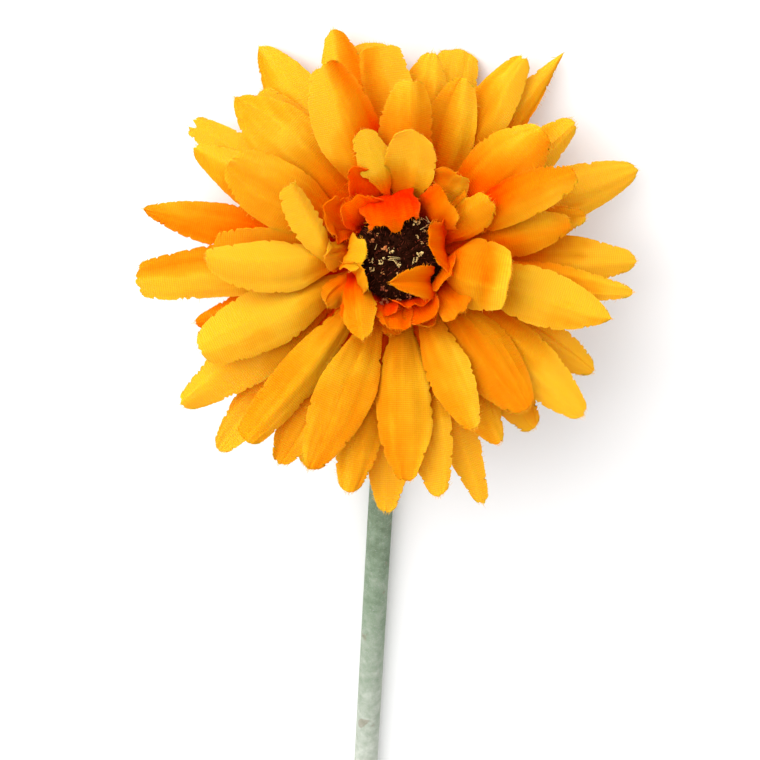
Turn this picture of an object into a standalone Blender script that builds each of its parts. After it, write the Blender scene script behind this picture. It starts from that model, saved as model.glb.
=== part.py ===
"""An artificial gerbera daisy with cloth petals, laid on a table with its face turned up.

Six die-cut cloth layers are threaded on the pin at the top of a bent plastic stem, between a moulded green
calyx and a flocked heart. The bloom is modelled in its own frame, which an empty tilts and lifts off the
table: +Z is the way its face looks, +Y is its upper edge in a picture taken from the front, and the calyx's
flat top is at z = 0. The stem and its wire are modelled where they lie. Sizes are in millimetres.
"""

import math
import random
from typing import NamedTuple

import bmesh
import bpy
import numpy as np
from mathutils import Matrix, Vector
from mathutils.bvhtree import BVHTree

MM = 0.001

# How the flower lies: the face looks up and away from the stem, and the upper petals touch the table.
FACE_TILT = 30.0
BLOOM_X = 2.0
BLOOM_Y = 108.7
BLOOM_HEIGHT = 27.0

# Cloth petals. A clock angle is in degrees clockwise from the bloom's upper edge.
CLOTH = 0.6
LAYER_GAP = 0.4
LAYER_PITCH = CLOTH + LAYER_GAP
FIRST_LEVEL = 0.7
HOLE_RADIUS = 2.45
FOOT_SHARE = 0.78
WIDEST_AT = 0.55
NARROW, BROAD = 7.0, 15.0
POINTED, ROUNDED = 1.7, 2.5
PRESS_START, PRESS_RUN = 0.04, 0.92
ROWS_LONG = (0.0, 0.14, 0.34, 0.56, 0.74, 0.87, 0.96, 1.0)
ROWS_SHORT = (0.0, 0.26, 0.54, 0.8, 1.0)
ACROSS = (-1.0, -0.5, 0.0, 0.5, 1.0)
SEED = 19

# How a petal closes to its tip: the tip's share of the full width, and the power that the closing curve takes.
LONG_TIP = (0.12, 0.75)
BLUNT_TIP = (0.6, 0.5)
SHARP_TIP = (0.1, 0.9)

# How far drawn petals depart from their layer, in degrees, and how high the edges of one of the broad width are
# pressed above its middle: in a round curve by the camber, and in a sharp fold by the keel.
LIFT_SPREAD = 2.0
CURL_SPREAD = 8.0
TWIST_SPREAD = 14.0
CAMBERS = (-1.6, 1.0)
KEELS = (-1.2, 0.7)

# The settling of one petal on those beneath it. It climbs over what lies within this share of its arm above
# it. A frill's petals stand too steeply to lie on one another, so every second one is raised instead.
SAMPLE_ALONG = np.linspace(0.12, 1.0, 20)
SAMPLE_ACROSS = np.linspace(-1.06, 1.06, 9)
SETTLE_ROUNDS = 12
ENOUGH_RISE = 0.002
CLIMB_SHARE = 0.7
UPRIGHT = 40.0
STAGGER = 6.0
TABLE_HALF = 90.0

# Stem, its wire and the pin that holds the layers.
STEM_RADIUS_TOP = 3.1
STEM_RADIUS_END = 2.85
STEM_SIDES = 12
STEM_RUN = 262.0
STEM_SLANT = 3.6
STEM_SLANT_START = 7.0
STEM_BOW = 2.5
PIN_RADIUS = 2.0
PIN_TOP = 10.0
SHOULDER = -3.0
SHOULDER_SLOPE = 0.01
BEND_START = -12.0
BEND_STATIONS = 8
STRAIGHT_STATIONS = 8
BORE_RADIUS = 1.15
BORE_TOP = -1.0
WIRE_RADIUS = 0.8
WIRE_SIDES = 8
FIT_GAP = 0.3

# Calyx.
TURNED_SIDES = 24
CALYX_FOOT = -11.0
CALYX_OUTSIDE = ((4.8, -11.0), (5.6, -9.2), (7.4, -6.4), (9.6, -3.4), (10.6, -1.2), (10.6, 0.0))
SEPAL_THICKNESS = 0.8
SEPAL_CURL = 14.0
SEPAL_CAMBER = 0.5
SEPAL_CLOSING = (0.2, 0.5)
SEPAL_TIP_SHARE = 0.35
SEPAL_ROWS = (0.0, 0.45, 0.8, 1.0)
SEPAL_ACROSS = (-1.0, 0.0, 1.0)

# Heart. Its outside starts at the foot, and its dome at the widest point.
HEART_OUTSIDE = ((6.2, 6.5), (8.6, 7.7), (9.9, 9.6), (9.3, 11.3), (7.2, 12.6), (3.8, 13.5), (0.0, 13.8))
HEART_TUFTS = 80
TUFT_RADIUS = 0.85
TUFT_HEIGHT = 2.0
TUFT_TIP_SHARE = 0.3
TUFT_SIDES = 5
TUFT_RIM_GAP = 0.3
SLOPE_STEP = 0.4
GOLDEN_ANGLE = 137.508

GOLD = (0.95, 0.46, 0.02, 1.0)
ORANGE = (0.92, 0.22, 0.01, 1.0)
DARK_BROWN = (0.03, 0.012, 0.01, 1.0)
SEPAL_GREEN = (0.09, 0.2, 0.04, 1.0)
GREY_GREEN = (0.36, 0.43, 0.33, 1.0)
STEEL = (0.5, 0.5, 0.5, 1.0)


class Layer(NamedTuple):
    """One die-cut cloth disc: its petals as (clock angle, reach, width), and how they stand.

    A frill gives each petal's length in place of its reach. Odd petals are posed by their clock angle.
    """

    name: str
    petals: tuple
    hub: float
    lift: float
    curl: float
    sway: float
    teeth: float
    tip: tuple
    colour: tuple
    posed: dict = {}


class Sepals(NamedTuple):
    """One ring of the calyx's pointed blades, their roots sunk in the cup's wall."""

    count: int
    first_clock: float
    root_radius: float
    level: float
    length: float
    width: float
    lift: float


class Petal(NamedTuple):
    """One petal of a layer, from its root on the hub's edge to its tip."""

    root: tuple
    heading: float
    length: float
    width: float
    foot: float
    lift: float
    curl: float
    camber: float
    keel: float
    twist: float
    teeth: float
    tip: tuple


LAYERS = (
    Layer(
        "petal_layer_1",
        (
            (16, 48, 12.5), (39, 57, 8), (70, 56, 12), (91, 52, 11), (120, 50, 11), (140, 48, 11),
            (161, 57, 9), (182, 56, 11), (203, 50, 12), (224, 57, 11), (250, 46, 9), (280, 57, 10),
            (304, 54, 9), (328, 55, 12.5), (352, 47, 12),
        ),
        10.7, -8.0, -14.0, 1.0, 0.0, LONG_TIP, GOLD,
    ),
    Layer(
        "petal_layer_2",
        (
            (10, 45, 12), (32, 51.5, 11), (54, 48, 11), (77, 42, 10), (99, 51.5, 8), (129, 53, 12),
            (152, 46, 11), (170, 53, 11), (191, 52, 11), (210, 52, 12), (235, 57, 12), (265, 57, 12),
            (297, 50.5, 11), (320, 47, 11), (343, 51, 12.5),
        ),
        10.5, 0.0, -14.0, 1.0, 0.0, LONG_TIP, GOLD,
    ),
    Layer(
        "petal_layer_3",
        (
            (21, 41, 12), (49, 43, 15), (80, 38, 10), (107, 48, 12.5), (141, 43.5, 14), (158, 42, 10),
            (179, 49, 12.5), (201, 50, 13.5), (219, 52, 11.5), (245, 47.5, 13.5), (272, 40, 10),
            (297, 43, 14.5), (316, 49, 15), (337, 48, 14), (356, 46, 12),
        ),
        10.3, 9.0, -10.0, 1.0, 0.0, LONG_TIP, GOLD,
    ),
    Layer(
        "petal_layer_4",
        (
            (3, 39, 12), (34, 25, 10), (65, 43, 10), (97, 28, 14.5), (130, 19, 6.5), (158, 18, 6),
            (186, 18, 6), (214, 18, 6), (238, 20, 6.5), (261, 41, 11.5), (298, 31, 7), (333, 25, 8),
        ),
        10.1, 23.0, 4.0, 1.0, 0.0, LONG_TIP, GOLD,
        {
            97: {"lift": 14.0, "curl": -62.0, "camber": -1.5, "twist": 0.0},
            298: {"lift": 33.0, "camber": 1.6, "twist": 40.0},
        },
    ),
    Layer(
        "frill_outer",
        (
            (13, 22, 9), (43, 12.5, 7.4), (73, 11, 6.6), (103, 11.5, 6.8), (133, 11, 7.2),
            (163, 12.5, 7.4), (187, 11, 7), (207, 17, 7), (235, 11, 7), (264, 12.5, 7.4),
            (300, 11, 6.8), (341, 22, 7),
        ),
        9.9, 47.0, 8.0, 0.6, 0.08, BLUNT_TIP, ORANGE,
        {
            13: {"lift": 50.0},
            73: {"lift": 60.0, "twist": 0.0},
            103: {"lift": 65.0, "twist": 0.0},
            207: {"curl": -30.0, "tip": LONG_TIP},
            300: {"lift": 56.0, "twist": 0.0},
            341: {"lift": 57.5, "tip": LONG_TIP},
        },
    ),
    Layer(
        "frill_inner",
        (
            (0, 18, 10.5), (42, 9, 6.6), (83, 9.5, 6.6), (125, 16, 7), (170, 9, 7), (212, 9.5, 6.6),
            (240, 9, 6.6), (277, 14.5, 7), (317, 9, 6.6),
        ),
        9.4, 78.5, 38.0, 0.3, 0.1, BLUNT_TIP, ORANGE,
        {
            0: {"lift": 115.0, "curl": 150.0, "length": 16.0, "teeth": -0.16},
            125: {"lift": 108.0, "curl": 130.0, "teeth": 0.02, "tip": SHARP_TIP},
            277: {"lift": 104.0, "curl": 120.0, "teeth": 0.02},
        },
    ),
)

SEPAL_RINGS = (
    Sepals(13, 0.0, 8.2, -3.2, 9.6, 4.6, -14.0),
    Sepals(10, 9.0, 5.4, -8.6, 8.6, 4.4, 12.0),
)


def half_width(petal, along):
    """A petal's half width at each place from root to tip. Narrow petals are the more pointed ones."""
    foot = petal.foot / petal.width
    opening = np.clip(along / WIDEST_AT, 0.0, 1.0)
    opening = foot + (1.0 - foot) * opening * opening * (3.0 - 2.0 * opening)
    closing = np.clip((along - WIDEST_AT) / (1.0 - WIDEST_AT), 0.0, 1.0)
    rounding = np.interp(petal.width, (NARROW, BROAD), (POINTED, ROUNDED))
    share, power = petal.tip
    return petal.width / 2 * opening * (share + (1.0 - share) * (1.0 - closing**rounding) ** power)


def surface(petal, along, across):
    """Points of a petal's middle surface: along is 0 at the root and 1 at the tip, across is -1 to 1."""
    start = math.radians(petal.lift - petal.curl / 2)
    turn = math.radians(petal.curl)
    slope = start + turn * along
    out = petal.length * (np.sin(slope) - math.sin(start)) / turn
    up = petal.length * (math.cos(start) - np.cos(slope)) / turn
    side = across * half_width(petal, along)
    swell = np.sin(math.pi * np.clip(along * PRESS_RUN + PRESS_START, 0.0, 1.0))
    height = swell * (petal.camber * across**2 + petal.keel * np.abs(across))
    roll = math.radians(petal.twist) * along
    sideways = side * np.cos(roll) - height * np.sin(roll)
    raised = side * np.sin(roll) + height * np.cos(roll)
    ahead = out - raised * np.sin(slope)
    above = up + raised * np.cos(slope)
    heading = math.radians(petal.heading)
    x = petal.root[0] + ahead * math.sin(heading) + sideways * math.cos(heading)
    y = petal.root[1] + ahead * math.cos(heading) - sideways * math.sin(heading)
    return np.stack([x, y, petal.root[2] + above], axis=-1)


def drawn_petals(layer, level, draw):
    """The layer's petals before they settle. Roots are evenly spaced, and each leans to its clock angle."""
    pitch = 360.0 / len(layer.petals)
    first = sum(clock - i * pitch for i, (clock, _, _) in enumerate(layer.petals)) / len(layer.petals)
    stands = layer.lift > UPRIGHT
    petals = []
    for i, (clock, reach, width) in enumerate(layer.petals):
        seat = math.radians(first + i * pitch)
        root = (layer.hub * math.sin(seat), layer.hub * math.cos(seat), level)
        tip_x = reach * math.sin(math.radians(clock))
        tip_y = reach * math.cos(math.radians(clock))
        raised = STAGGER * (i % 2) if stands else 0.0
        petal = Petal(
            root=root,
            heading=math.degrees(seat if stands else math.atan2(tip_x - root[0], tip_y - root[1])),
            length=reach,
            width=width,
            foot=FOOT_SHARE * math.radians(pitch) * layer.hub,
            lift=layer.lift + draw.uniform(-LIFT_SPREAD, LIFT_SPREAD) * layer.sway + raised,
            curl=layer.curl + draw.uniform(-CURL_SPREAD, CURL_SPREAD) * layer.sway,
            camber=draw.uniform(*CAMBERS) * layer.sway * width / BROAD,
            keel=draw.uniform(*KEELS) * layer.sway * width / BROAD,
            twist=draw.uniform(-TWIST_SPREAD, TWIST_SPREAD) * layer.sway,
            teeth=layer.teeth,
            tip=layer.tip,
        )
        petal = petal._replace(**layer.posed.get(clock, {}))
        if not stands:
            run = math.hypot(tip_x - root[0], tip_y - root[1])
            petal = petal._replace(length=length_to_reach(petal, run))
        petals.append(petal)
    return petals


def length_to_reach(petal, run):
    """The length that brings the petal's tip this far out from its root."""
    start = math.radians(petal.lift - petal.curl / 2)
    turn = math.radians(petal.curl)
    return run * turn / (math.sin(start + turn) - math.sin(start))


def mesh_rows(petal, rows):
    """The petal's points, row by row. A frill's petals are cut back at every second point to make teeth."""
    along, across = np.meshgrid(rows, ACROSS, indexing="ij")
    notches = petal.teeth * (np.arange(len(ACROSS)) % 2 == 0)
    return surface(petal, along - notches * along**3, across)


def table_faces():
    """The table's top in the bloom's frame, let down by the gap that petals keep between them."""
    tilt = math.radians(FACE_TILT)
    corners = []
    for x, y in ((-1, -1), (1, -1), (1, 1), (-1, 1)):
        height = (y * TABLE_HALF * math.sin(tilt) - BLOOM_HEIGHT) / math.cos(tilt) - LAYER_GAP - CLOTH / 2
        corners.append((x * TABLE_HALF, y * TABLE_HALF, height))
    return corners, [(0, 1, 2, 3)]


def settled(petal, tree):
    """The petal, lifted about its root until all of it lies clear above what the tree holds."""
    along, across = np.meshgrid(SAMPLE_ALONG, SAMPLE_ACROSS, indexing="ij")
    arms = (along * petal.length).ravel()
    heading = math.radians(petal.heading)
    for _ in range(SETTLE_ROUNDS):
        lift = math.radians(petal.lift)
        inward = -math.sin(lift)
        away = Vector((inward * math.sin(heading), inward * math.cos(heading), math.cos(lift)))
        rise = 0.0
        for point, arm in zip(surface(petal, along, across).reshape(-1, 3), arms):
            look = CLIMB_SHARE * arm
            distance = tree.ray_cast(Vector(point) + away * look, -away, look + LAYER_PITCH)[3]
            if distance is not None:
                rise = max(rise, (look + LAYER_PITCH - distance) / arm)
        if rise < ENOUGH_RISE:
            break
        petal = petal._replace(lift=petal.lift + math.degrees(math.atan(rise)))
    return petal


def settled_layers():
    """Each layer's petals, from the back to the front, every petal resting clear of those before it."""
    draw = random.Random(SEED)
    points, faces = table_faces()
    placed = []
    for order, layer in enumerate(LAYERS):
        rows = ROWS_LONG if layer.teeth == 0 else ROWS_SHORT
        petals = drawn_petals(layer, FIRST_LEVEL + order * LAYER_PITCH, draw)
        count = len(petals)
        for i in [*range(0, count, 2), *range(1, count, 2)]:
            if layer.lift < UPRIGHT:
                petals[i] = settled(petals[i], BVHTree.FromPolygons(points, faces))
            base, wide = len(points), len(ACROSS)
            points += [tuple(p) for p in mesh_rows(petals[i], rows).reshape(-1, 3)]
            for a in range(base, base + (len(rows) - 1) * wide):
                if (a - base) % wide < wide - 1:
                    faces.append((a, a + 1, a + wide + 1, a + wide))
        placed.append((layer, rows, petals))
    return placed


def material(name, colour, roughness, metallic=0.0):
    made = bpy.data.materials.new(name)
    made.use_nodes = True
    shader = made.node_tree.nodes["Principled BSDF"]
    shader.inputs["Base Color"].default_value = colour
    shader.inputs["Roughness"].default_value = roughness
    shader.inputs["Metallic"].default_value = metallic
    return made


def new_object(name, mesh, finish, parent=None):
    mesh.materials.append(finish)
    made = bpy.data.objects.new(name, mesh)
    bpy.context.scene.collection.objects.link(made)
    made.parent = parent
    return made


def mesh_from(name, bm, smooth=True):
    bmesh.ops.recalc_face_normals(bm, faces=bm.faces)
    mesh = bpy.data.meshes.new(name)
    bm.to_mesh(mesh)
    bm.free()
    if smooth:
        mesh.shade_smooth()
        mesh.set_sharp_from_angle(angle=math.radians(40))
    return mesh


def thicken(target, thickness):
    """Cloth or moulded blade of even thickness about the modelled surface."""
    solid = target.modifiers.new("Thickness", "SOLIDIFY")
    solid.thickness = thickness * MM
    solid.offset = 0.0
    solid.use_even_offset = False


def strip_faces(bm, rows):
    """Triangles between rows of vertices, split alike all over, so that both faces of a sheet match."""
    for low, high in zip(rows, rows[1:]):
        for j in range(len(low) - 1):
            bm.faces.new((low[j], low[j + 1], high[j + 1]))
            bm.faces.new((low[j], high[j + 1], high[j]))


def cloth_layer(layer, rows, petals, finish, parent):
    """A hub ring that the pin goes through, with every petal growing out of its edge in one sheet."""
    bm = bmesh.new()
    level = petals[0].root[2]
    roots, inner = [], []
    for petal in petals:
        points = mesh_rows(petal, rows)
        points[0, :, 2] = level
        grid = [[bm.verts.new(Vector(p) * MM) for p in row] for row in points]
        strip_faces(bm, grid)
        seat = Vector(petal.root[:2]).normalized() * HOLE_RADIUS
        roots.append(grid[0])
        inner.append(bm.verts.new(Vector((seat.x, seat.y, level)) * MM))
    for i, root in enumerate(roots):
        after = (i + 1) % len(roots)
        for j in range(len(root) - 1):
            bm.faces.new((inner[i], root[j + 1], root[j]))
        bm.faces.new((inner[i], roots[after][0], root[-1]))
        bm.faces.new((inner[i], inner[after], roots[after][0]))
    made = new_object(layer.name, mesh_from(layer.name, bm), finish, parent)
    thicken(made, CLOTH)
    return made


def turned(name, profile):
    """A closed profile of (radius, height) turned about the bloom's axis."""
    bm = bmesh.new()
    points = [bm.verts.new(Vector((radius, 0, height)) * MM) for radius, height in profile]
    edges = [bm.edges.new((a, b)) for a, b in zip(points, points[1:] + points[:1])]
    bmesh.ops.spin(
        bm, geom=points + edges, cent=(0, 0, 0), axis=(0, 0, 1), angle=2 * math.pi,
        steps=TURNED_SIDES, use_merge=True,
    )
    bmesh.ops.remove_doubles(bm, verts=bm.verts, dist=1e-6)
    bmesh.ops.dissolve_degenerate(bm, dist=1e-7, edges=bm.edges)
    return mesh_from(name, bm)


def united(body, pieces):
    """Joins the pieces into the body with one Boolean union, and removes them."""
    group = bpy.data.collections.new(body.name + "_pieces")
    bpy.context.scene.collection.children.link(group)
    for piece in pieces:
        bpy.context.scene.collection.objects.unlink(piece)
        group.objects.link(piece)
    join = body.modifiers.new("Union", "BOOLEAN")
    join.operation = "UNION"
    join.operand_type = "COLLECTION"
    join.collection = group
    with bpy.context.temp_override(object=body, active_object=body, selected_objects=[body]):
        bpy.ops.object.modifier_apply(modifier=join.name)
    for piece in pieces:
        bpy.data.objects.remove(piece)
    bpy.data.collections.remove(group)
    return body


def sepal(name, ring, number, finish):
    clock = ring.first_clock + 360.0 / ring.count * number
    seat = math.radians(clock)
    root = (ring.root_radius * math.sin(seat), ring.root_radius * math.cos(seat), ring.level)
    blade = Petal(
        root=root, heading=clock, length=ring.length, width=ring.width, foot=ring.width / 2, lift=ring.lift,
        curl=SEPAL_CURL, camber=SEPAL_CAMBER, keel=0.0, twist=0.0, teeth=0.0, tip=SEPAL_CLOSING,
    )
    along, across = np.meshgrid(SEPAL_ROWS, SEPAL_ACROSS, indexing="ij")
    points = surface(blade, along, across)
    tip = points[-1, 1].copy()
    points[-1] = tip + (points[-1] - tip) * SEPAL_TIP_SHARE
    bm = bmesh.new()
    strip_faces(bm, [[bm.verts.new(Vector(p) * MM) for p in row] for row in points])
    made = new_object(name, mesh_from(name, bm), finish)
    thicken(made, SEPAL_THICKNESS)
    return made


def calyx(finish, parent):
    """A moulded cup with a stepped bore for the stem and two rings of sepals."""
    bore = STEM_RADIUS_TOP + FIT_GAP
    step = SHOULDER + FIT_GAP
    pin_bore = PIN_RADIUS + FIT_GAP
    profile = (*CALYX_OUTSIDE, (pin_bore, 0.0), (pin_bore, step), (bore, step), (bore, CALYX_FOOT))
    cup = new_object("calyx", turned("calyx", profile), finish)
    blades = []
    for level, ring in enumerate(SEPAL_RINGS):
        blades += [sepal(f"sepal_{level}_{i}", ring, i, finish) for i in range(ring.count)]
    united(cup, blades)
    cup.parent = parent
    return cup


def heart_height(radius):
    """How high the heart's dome lies at a distance from the axis."""
    dome = HEART_OUTSIDE[2:]
    return float(np.interp(radius, [p[0] for p in dome][::-1], [p[1] for p in dome][::-1]))


def tuft(number, finish):
    """One pointed tuft of the flocked heart, standing square to the dome, as seeds stand on a disc."""
    rim = HEART_OUTSIDE[2][0] - TUFT_RIM_GAP
    radius = rim * math.sqrt((number + 0.5) / HEART_TUFTS)
    drop = heart_height(max(radius - SLOPE_STEP, 0.0)) - heart_height(radius + SLOPE_STEP)
    bm = bmesh.new()
    bmesh.ops.create_cone(
        bm, cap_ends=True, segments=TUFT_SIDES, radius1=TUFT_RADIUS * MM,
        radius2=TUFT_RADIUS * TUFT_TIP_SHARE * MM, depth=TUFT_HEIGHT * MM,
    )
    bm.transform(
        Matrix.Rotation(math.radians(number * GOLDEN_ANGLE), 4, "Z")
        @ Matrix.Translation(Vector((radius, 0, heart_height(radius))) * MM)
        @ Matrix.Rotation(math.atan2(drop, 2 * SLOPE_STEP), 4, "Y")
    )
    return new_object(f"tuft_{number}", mesh_from(f"tuft_{number}", bm, smooth=False), finish)


def heart(finish, parent):
    """The dark flocked dome, with a blind hole underneath that goes over the pin."""
    hole = PIN_RADIUS + FIT_GAP
    roof = PIN_TOP + FIT_GAP
    profile = (*HEART_OUTSIDE, (0.0, roof), (hole, roof), (hole, HEART_OUTSIDE[0][1]))
    dome = new_object("heart", turned("heart", profile), finish)
    united(dome, [tuft(i, finish) for i in range(HEART_TUFTS)])
    dome.parent = parent
    return dome


def stem_radius(run):
    """The stem's radius at a distance from where its bend starts, thinning to the cut end."""
    return STEM_RADIUS_TOP + (STEM_RADIUS_END - STEM_RADIUS_TOP) * run / STEM_RUN


def face_axis(height):
    """A point on the bloom's axis, in the table's frame."""
    tilt = math.radians(FACE_TILT)
    return Vector((BLOOM_X, BLOOM_Y + height * math.sin(tilt), BLOOM_HEIGHT + height * math.cos(tilt)))


def resting_height(run):
    """The height of the stem's middle line where one of its flats lies on the table."""
    return stem_radius(run) * math.cos(math.pi / STEM_SIDES)


def stem_path():
    """The stem's middle line as (run, point), from its bend's start to the cut end: round, then straight."""
    start = face_axis(BEND_START)
    turn = math.radians(90.0 - FACE_TILT)
    foot = resting_height(0.0)
    radius = (start.z - foot) / (1.0 - math.cos(turn))
    reach = radius * math.sin(turn)
    bent = radius * turn
    stations = []
    for i in range(BEND_STATIONS):
        angle = turn * (1.0 - i / (BEND_STATIONS - 1))
        height = foot + radius * (1.0 - math.cos(angle))
        stations.append((radius * (turn - angle), reach - radius * math.sin(angle), height))
    for i in range(1, STRAIGHT_STATIONS + 1):
        run = bent + (STEM_RUN - bent) * i / STRAIGHT_STATIONS
        stations.append((run, reach + run - bent, resting_height(run)))
    path = []
    for run, distance, height in stations:
        eased = distance - STEM_SLANT_START * (1.0 - math.exp(-distance / STEM_SLANT_START))
        bow = STEM_BOW * (1.0 - math.cos(math.pi * distance / STEM_RUN)) / 2
        x = BLOOM_X - eased * math.tan(math.radians(STEM_SLANT)) + bow
        path.append((run, Vector((x, start.y - distance, height))))
    return path


def swept(bm, stations, sides):
    """A tube along a line. Each station (point, radius) makes a ring of vertices, one flat facing down."""
    rings = []
    for i, (point, radius) in enumerate(stations):
        before = stations[max(i - 1, 0)][0]
        after = stations[min(i + 1, len(stations) - 1)][0]
        ahead = (after - before).normalized()
        side = (Vector((1, 0, 0)) - ahead * ahead.x).normalized()
        up = ahead.cross(side)
        angles = [2 * math.pi * (k + 0.5) / sides for k in range(sides)]
        ring = [point + radius * (side * math.sin(a) + up * math.cos(a)) for a in angles]
        rings.append([bm.verts.new(corner * MM) for corner in ring])
    for low, high in zip(rings, rings[1:]):
        band(bm, low, high)
    return rings


def band(bm, low, high):
    """Faces between two rings of equal count."""
    for k in range(len(low)):
        bm.faces.new((low[k - 1], low[k], high[k], high[k - 1]))


def stem(finish):
    """The plastic stem with its pin, and a bore from the cut end for the wire."""
    bm = bmesh.new()
    pin = [
        (face_axis(PIN_TOP), PIN_RADIUS),
        (face_axis(SHOULDER), PIN_RADIUS),
        (face_axis(SHOULDER - SHOULDER_SLOPE), STEM_RADIUS_TOP),
    ]
    outside = swept(bm, pin + [(point, stem_radius(run)) for run, point in stem_path()], STEM_SIDES)
    bore_line = [(face_axis(BORE_TOP), BORE_RADIUS)] + [(point, BORE_RADIUS) for _, point in stem_path()]
    bore = swept(bm, bore_line, STEM_SIDES)
    bm.faces.new(outside[0])
    bm.faces.new(bore[0])
    band(bm, outside[-1], bore[-1])
    bmesh.ops.triangulate(bm, faces=bm.faces)
    return new_object("stem", mesh_from("stem", bm), finish)


def wire(finish):
    """The soft steel wire inside the stem, which keeps its bend."""
    bm = bmesh.new()
    top = face_axis(BORE_TOP - FIT_GAP)
    line = [(top, WIRE_RADIUS)] + [(point, WIRE_RADIUS) for _, point in stem_path()]
    rings = swept(bm, line, WIRE_SIDES)
    bm.faces.new(rings[0])
    bm.faces.new(rings[-1])
    bmesh.ops.triangulate(bm, faces=bm.faces)
    return new_object("stem_wire", mesh_from("stem_wire", bm), finish)


def main():
    for old in list(bpy.data.objects):
        bpy.data.objects.remove(old)
    bloom = bpy.data.objects.new("bloom_frame", None)
    bpy.context.scene.collection.objects.link(bloom)
    bloom.location = Vector((BLOOM_X, BLOOM_Y, BLOOM_HEIGHT)) * MM
    bloom.rotation_euler = (-math.radians(FACE_TILT), 0, 0)
    cloths = {GOLD: material("golden_cloth", GOLD, 0.8), ORANGE: material("orange_cloth", ORANGE, 0.8)}
    for layer, rows, petals in settled_layers():
        cloth_layer(layer, rows, petals, cloths[layer.colour], bloom)
    calyx(material("green_plastic", SEPAL_GREEN, 0.55), bloom)
    heart(material("dark_flock", DARK_BROWN, 0.95), bloom)
    stem(material("coated_plastic", GREY_GREEN, 0.8))
    wire(material("steel_wire", STEEL, 0.35, 1.0))


main()
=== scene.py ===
"""An artificial gerbera daisy for a close look: pressed cloth petals, a flocked heart and a coated stem.

The petals repeat the shape rule of the solids that they stand for, and add what the cutter and the hot mould
leave: creases, swells, ragged edges and loose threads. The bloom is shaped in its own frame, in millimetres,
with +Z the way its face looks and +Y its upper edge, and is then moved to where it lies.
"""

import math
import random
from contextlib import contextmanager
from typing import NamedTuple

import bmesh
import bpy
import numpy as np
from mathutils import Matrix, Vector
from mathutils.bvhtree import BVHTree

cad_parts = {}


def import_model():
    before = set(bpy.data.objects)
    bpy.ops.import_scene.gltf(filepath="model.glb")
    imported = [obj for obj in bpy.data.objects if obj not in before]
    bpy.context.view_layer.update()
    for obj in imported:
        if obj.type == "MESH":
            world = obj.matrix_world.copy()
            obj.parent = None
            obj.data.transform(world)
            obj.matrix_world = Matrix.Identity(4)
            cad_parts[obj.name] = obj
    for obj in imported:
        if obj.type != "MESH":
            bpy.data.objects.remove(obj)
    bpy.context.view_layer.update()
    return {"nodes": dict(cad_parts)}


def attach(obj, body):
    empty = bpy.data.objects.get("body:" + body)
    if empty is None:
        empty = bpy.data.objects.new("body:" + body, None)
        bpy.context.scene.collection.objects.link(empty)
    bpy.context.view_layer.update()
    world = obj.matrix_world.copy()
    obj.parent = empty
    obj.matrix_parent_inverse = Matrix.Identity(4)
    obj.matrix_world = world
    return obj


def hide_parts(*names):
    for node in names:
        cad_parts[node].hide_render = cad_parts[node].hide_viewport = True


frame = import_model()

MM = 0.001

# How the flower lies, and the picture's scale: one pixel at the bloom is this many millimetres.
FACE_TILT = 30.0
BLOOM_PLACE = Vector((2.0, 108.7, 27.0))
BLOOM = Matrix.Translation(BLOOM_PLACE) @ Matrix.Rotation(-math.radians(FACE_TILT), 4, "X")
PIXEL = 0.2148
PICTURE = 760
BLOOM_PIXEL = (398, 255)
CAMERA_AWAY = 700.0
FACE_HEIGHT = 12.0

# The shape rule of the cloth petals, as the solids have it.
SOLID_CLOTH = 0.6
LAYER_PITCH = 1.0
FIRST_LEVEL = 0.7
HOLE_RADIUS = 2.45
FOOT_SHARE = 0.78
WIDEST_AT = 0.55
NARROW, BROAD = 7.0, 15.0
POINTED, ROUNDED = 1.7, 2.5
PRESS_START, PRESS_RUN, PRESS_REACH = 0.04, 0.92, 1.25
LONG_TIP = (0.12, 0.75)
BLUNT_TIP = (0.6, 0.5)
SHARP_TIP = (0.1, 0.9)
LIFT_SPREAD, CURL_SPREAD, TWIST_SPREAD = 2.0, 8.0, 14.0
CAMBERS = (-1.6, 1.0)
KEELS = (-1.2, 0.7)
UPRIGHT, FOLDED_OVER = 40.0, 100.0
STAGGER = 6.0
SEED = 19

# How far a petal may have settled, and the places along and across it that are compared with its solid.
MOST_SETTLED = 28.0
HELD_ALONG, HELD_ACROSS = (0.25, 0.45, 0.65, 0.85), (-0.6, 0.0, 0.6)

# The real cloth and its grid of points.
CLOTH = 0.26
HUB_RINGS, SLIT = (4.6, 7.0, 9.0), 0.35
ROW_STEP, FEWEST_ROWS, TIP_CROWDING = 0.55, 16, 1.5
COLUMN_STEP, FEWEST_COLUMNS = 0.72, 5
WELD, FINE_WELD = 0.01, 0.001
CLOTH_SMOOTH = 50

# Pressed marks: where the mould's relief starts and fades, and the long folds' places across a petal.
FLAT_ROOT, TIP_START, TIP_FLATNESS = 0.4, 0.6, 0.45
FOLD_PLACES, FOLD_FADE = (-0.75, -0.4, 0.0, 0.4, 0.75), 0.5
DENT_RATIO = 5.0
SIDE_PHASE = 0.37

# Cut edges: wear in millimetres, and teeth as shares of a petal's length.
HEM_RAGGED, HEM_BITE, BITE_CHANCE = 0.16, 0.5, 0.16
TIP_ROUND, CORNER, FRILL_ROUND = 0.05, 0.96, 0.1
SMALL_TEETH, SMALL_SHARE = 5.5, 0.3
SIDE_TEETH, SHORT_TEETH, LONG_FRILL = 0.5, 0.45, 14.0
CUT_SEED, PETAL_SEEDS = 207, 1000

# Weave and loose threads.
RIB = 0.47
THREAD_RADIUS, THREAD_BEND, THREAD_SINK, THREAD_STEP = 0.045, 2.2, 0.1, 0.47
TIP_THREADS, TIP_THREAD = 0.8, 0.9
FRAYED_PARTS = (1.0, 3.0)
FRAY, FRAY_SWAY, ROOT_FRAY = 0.4, 0.7, 0.2

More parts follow.
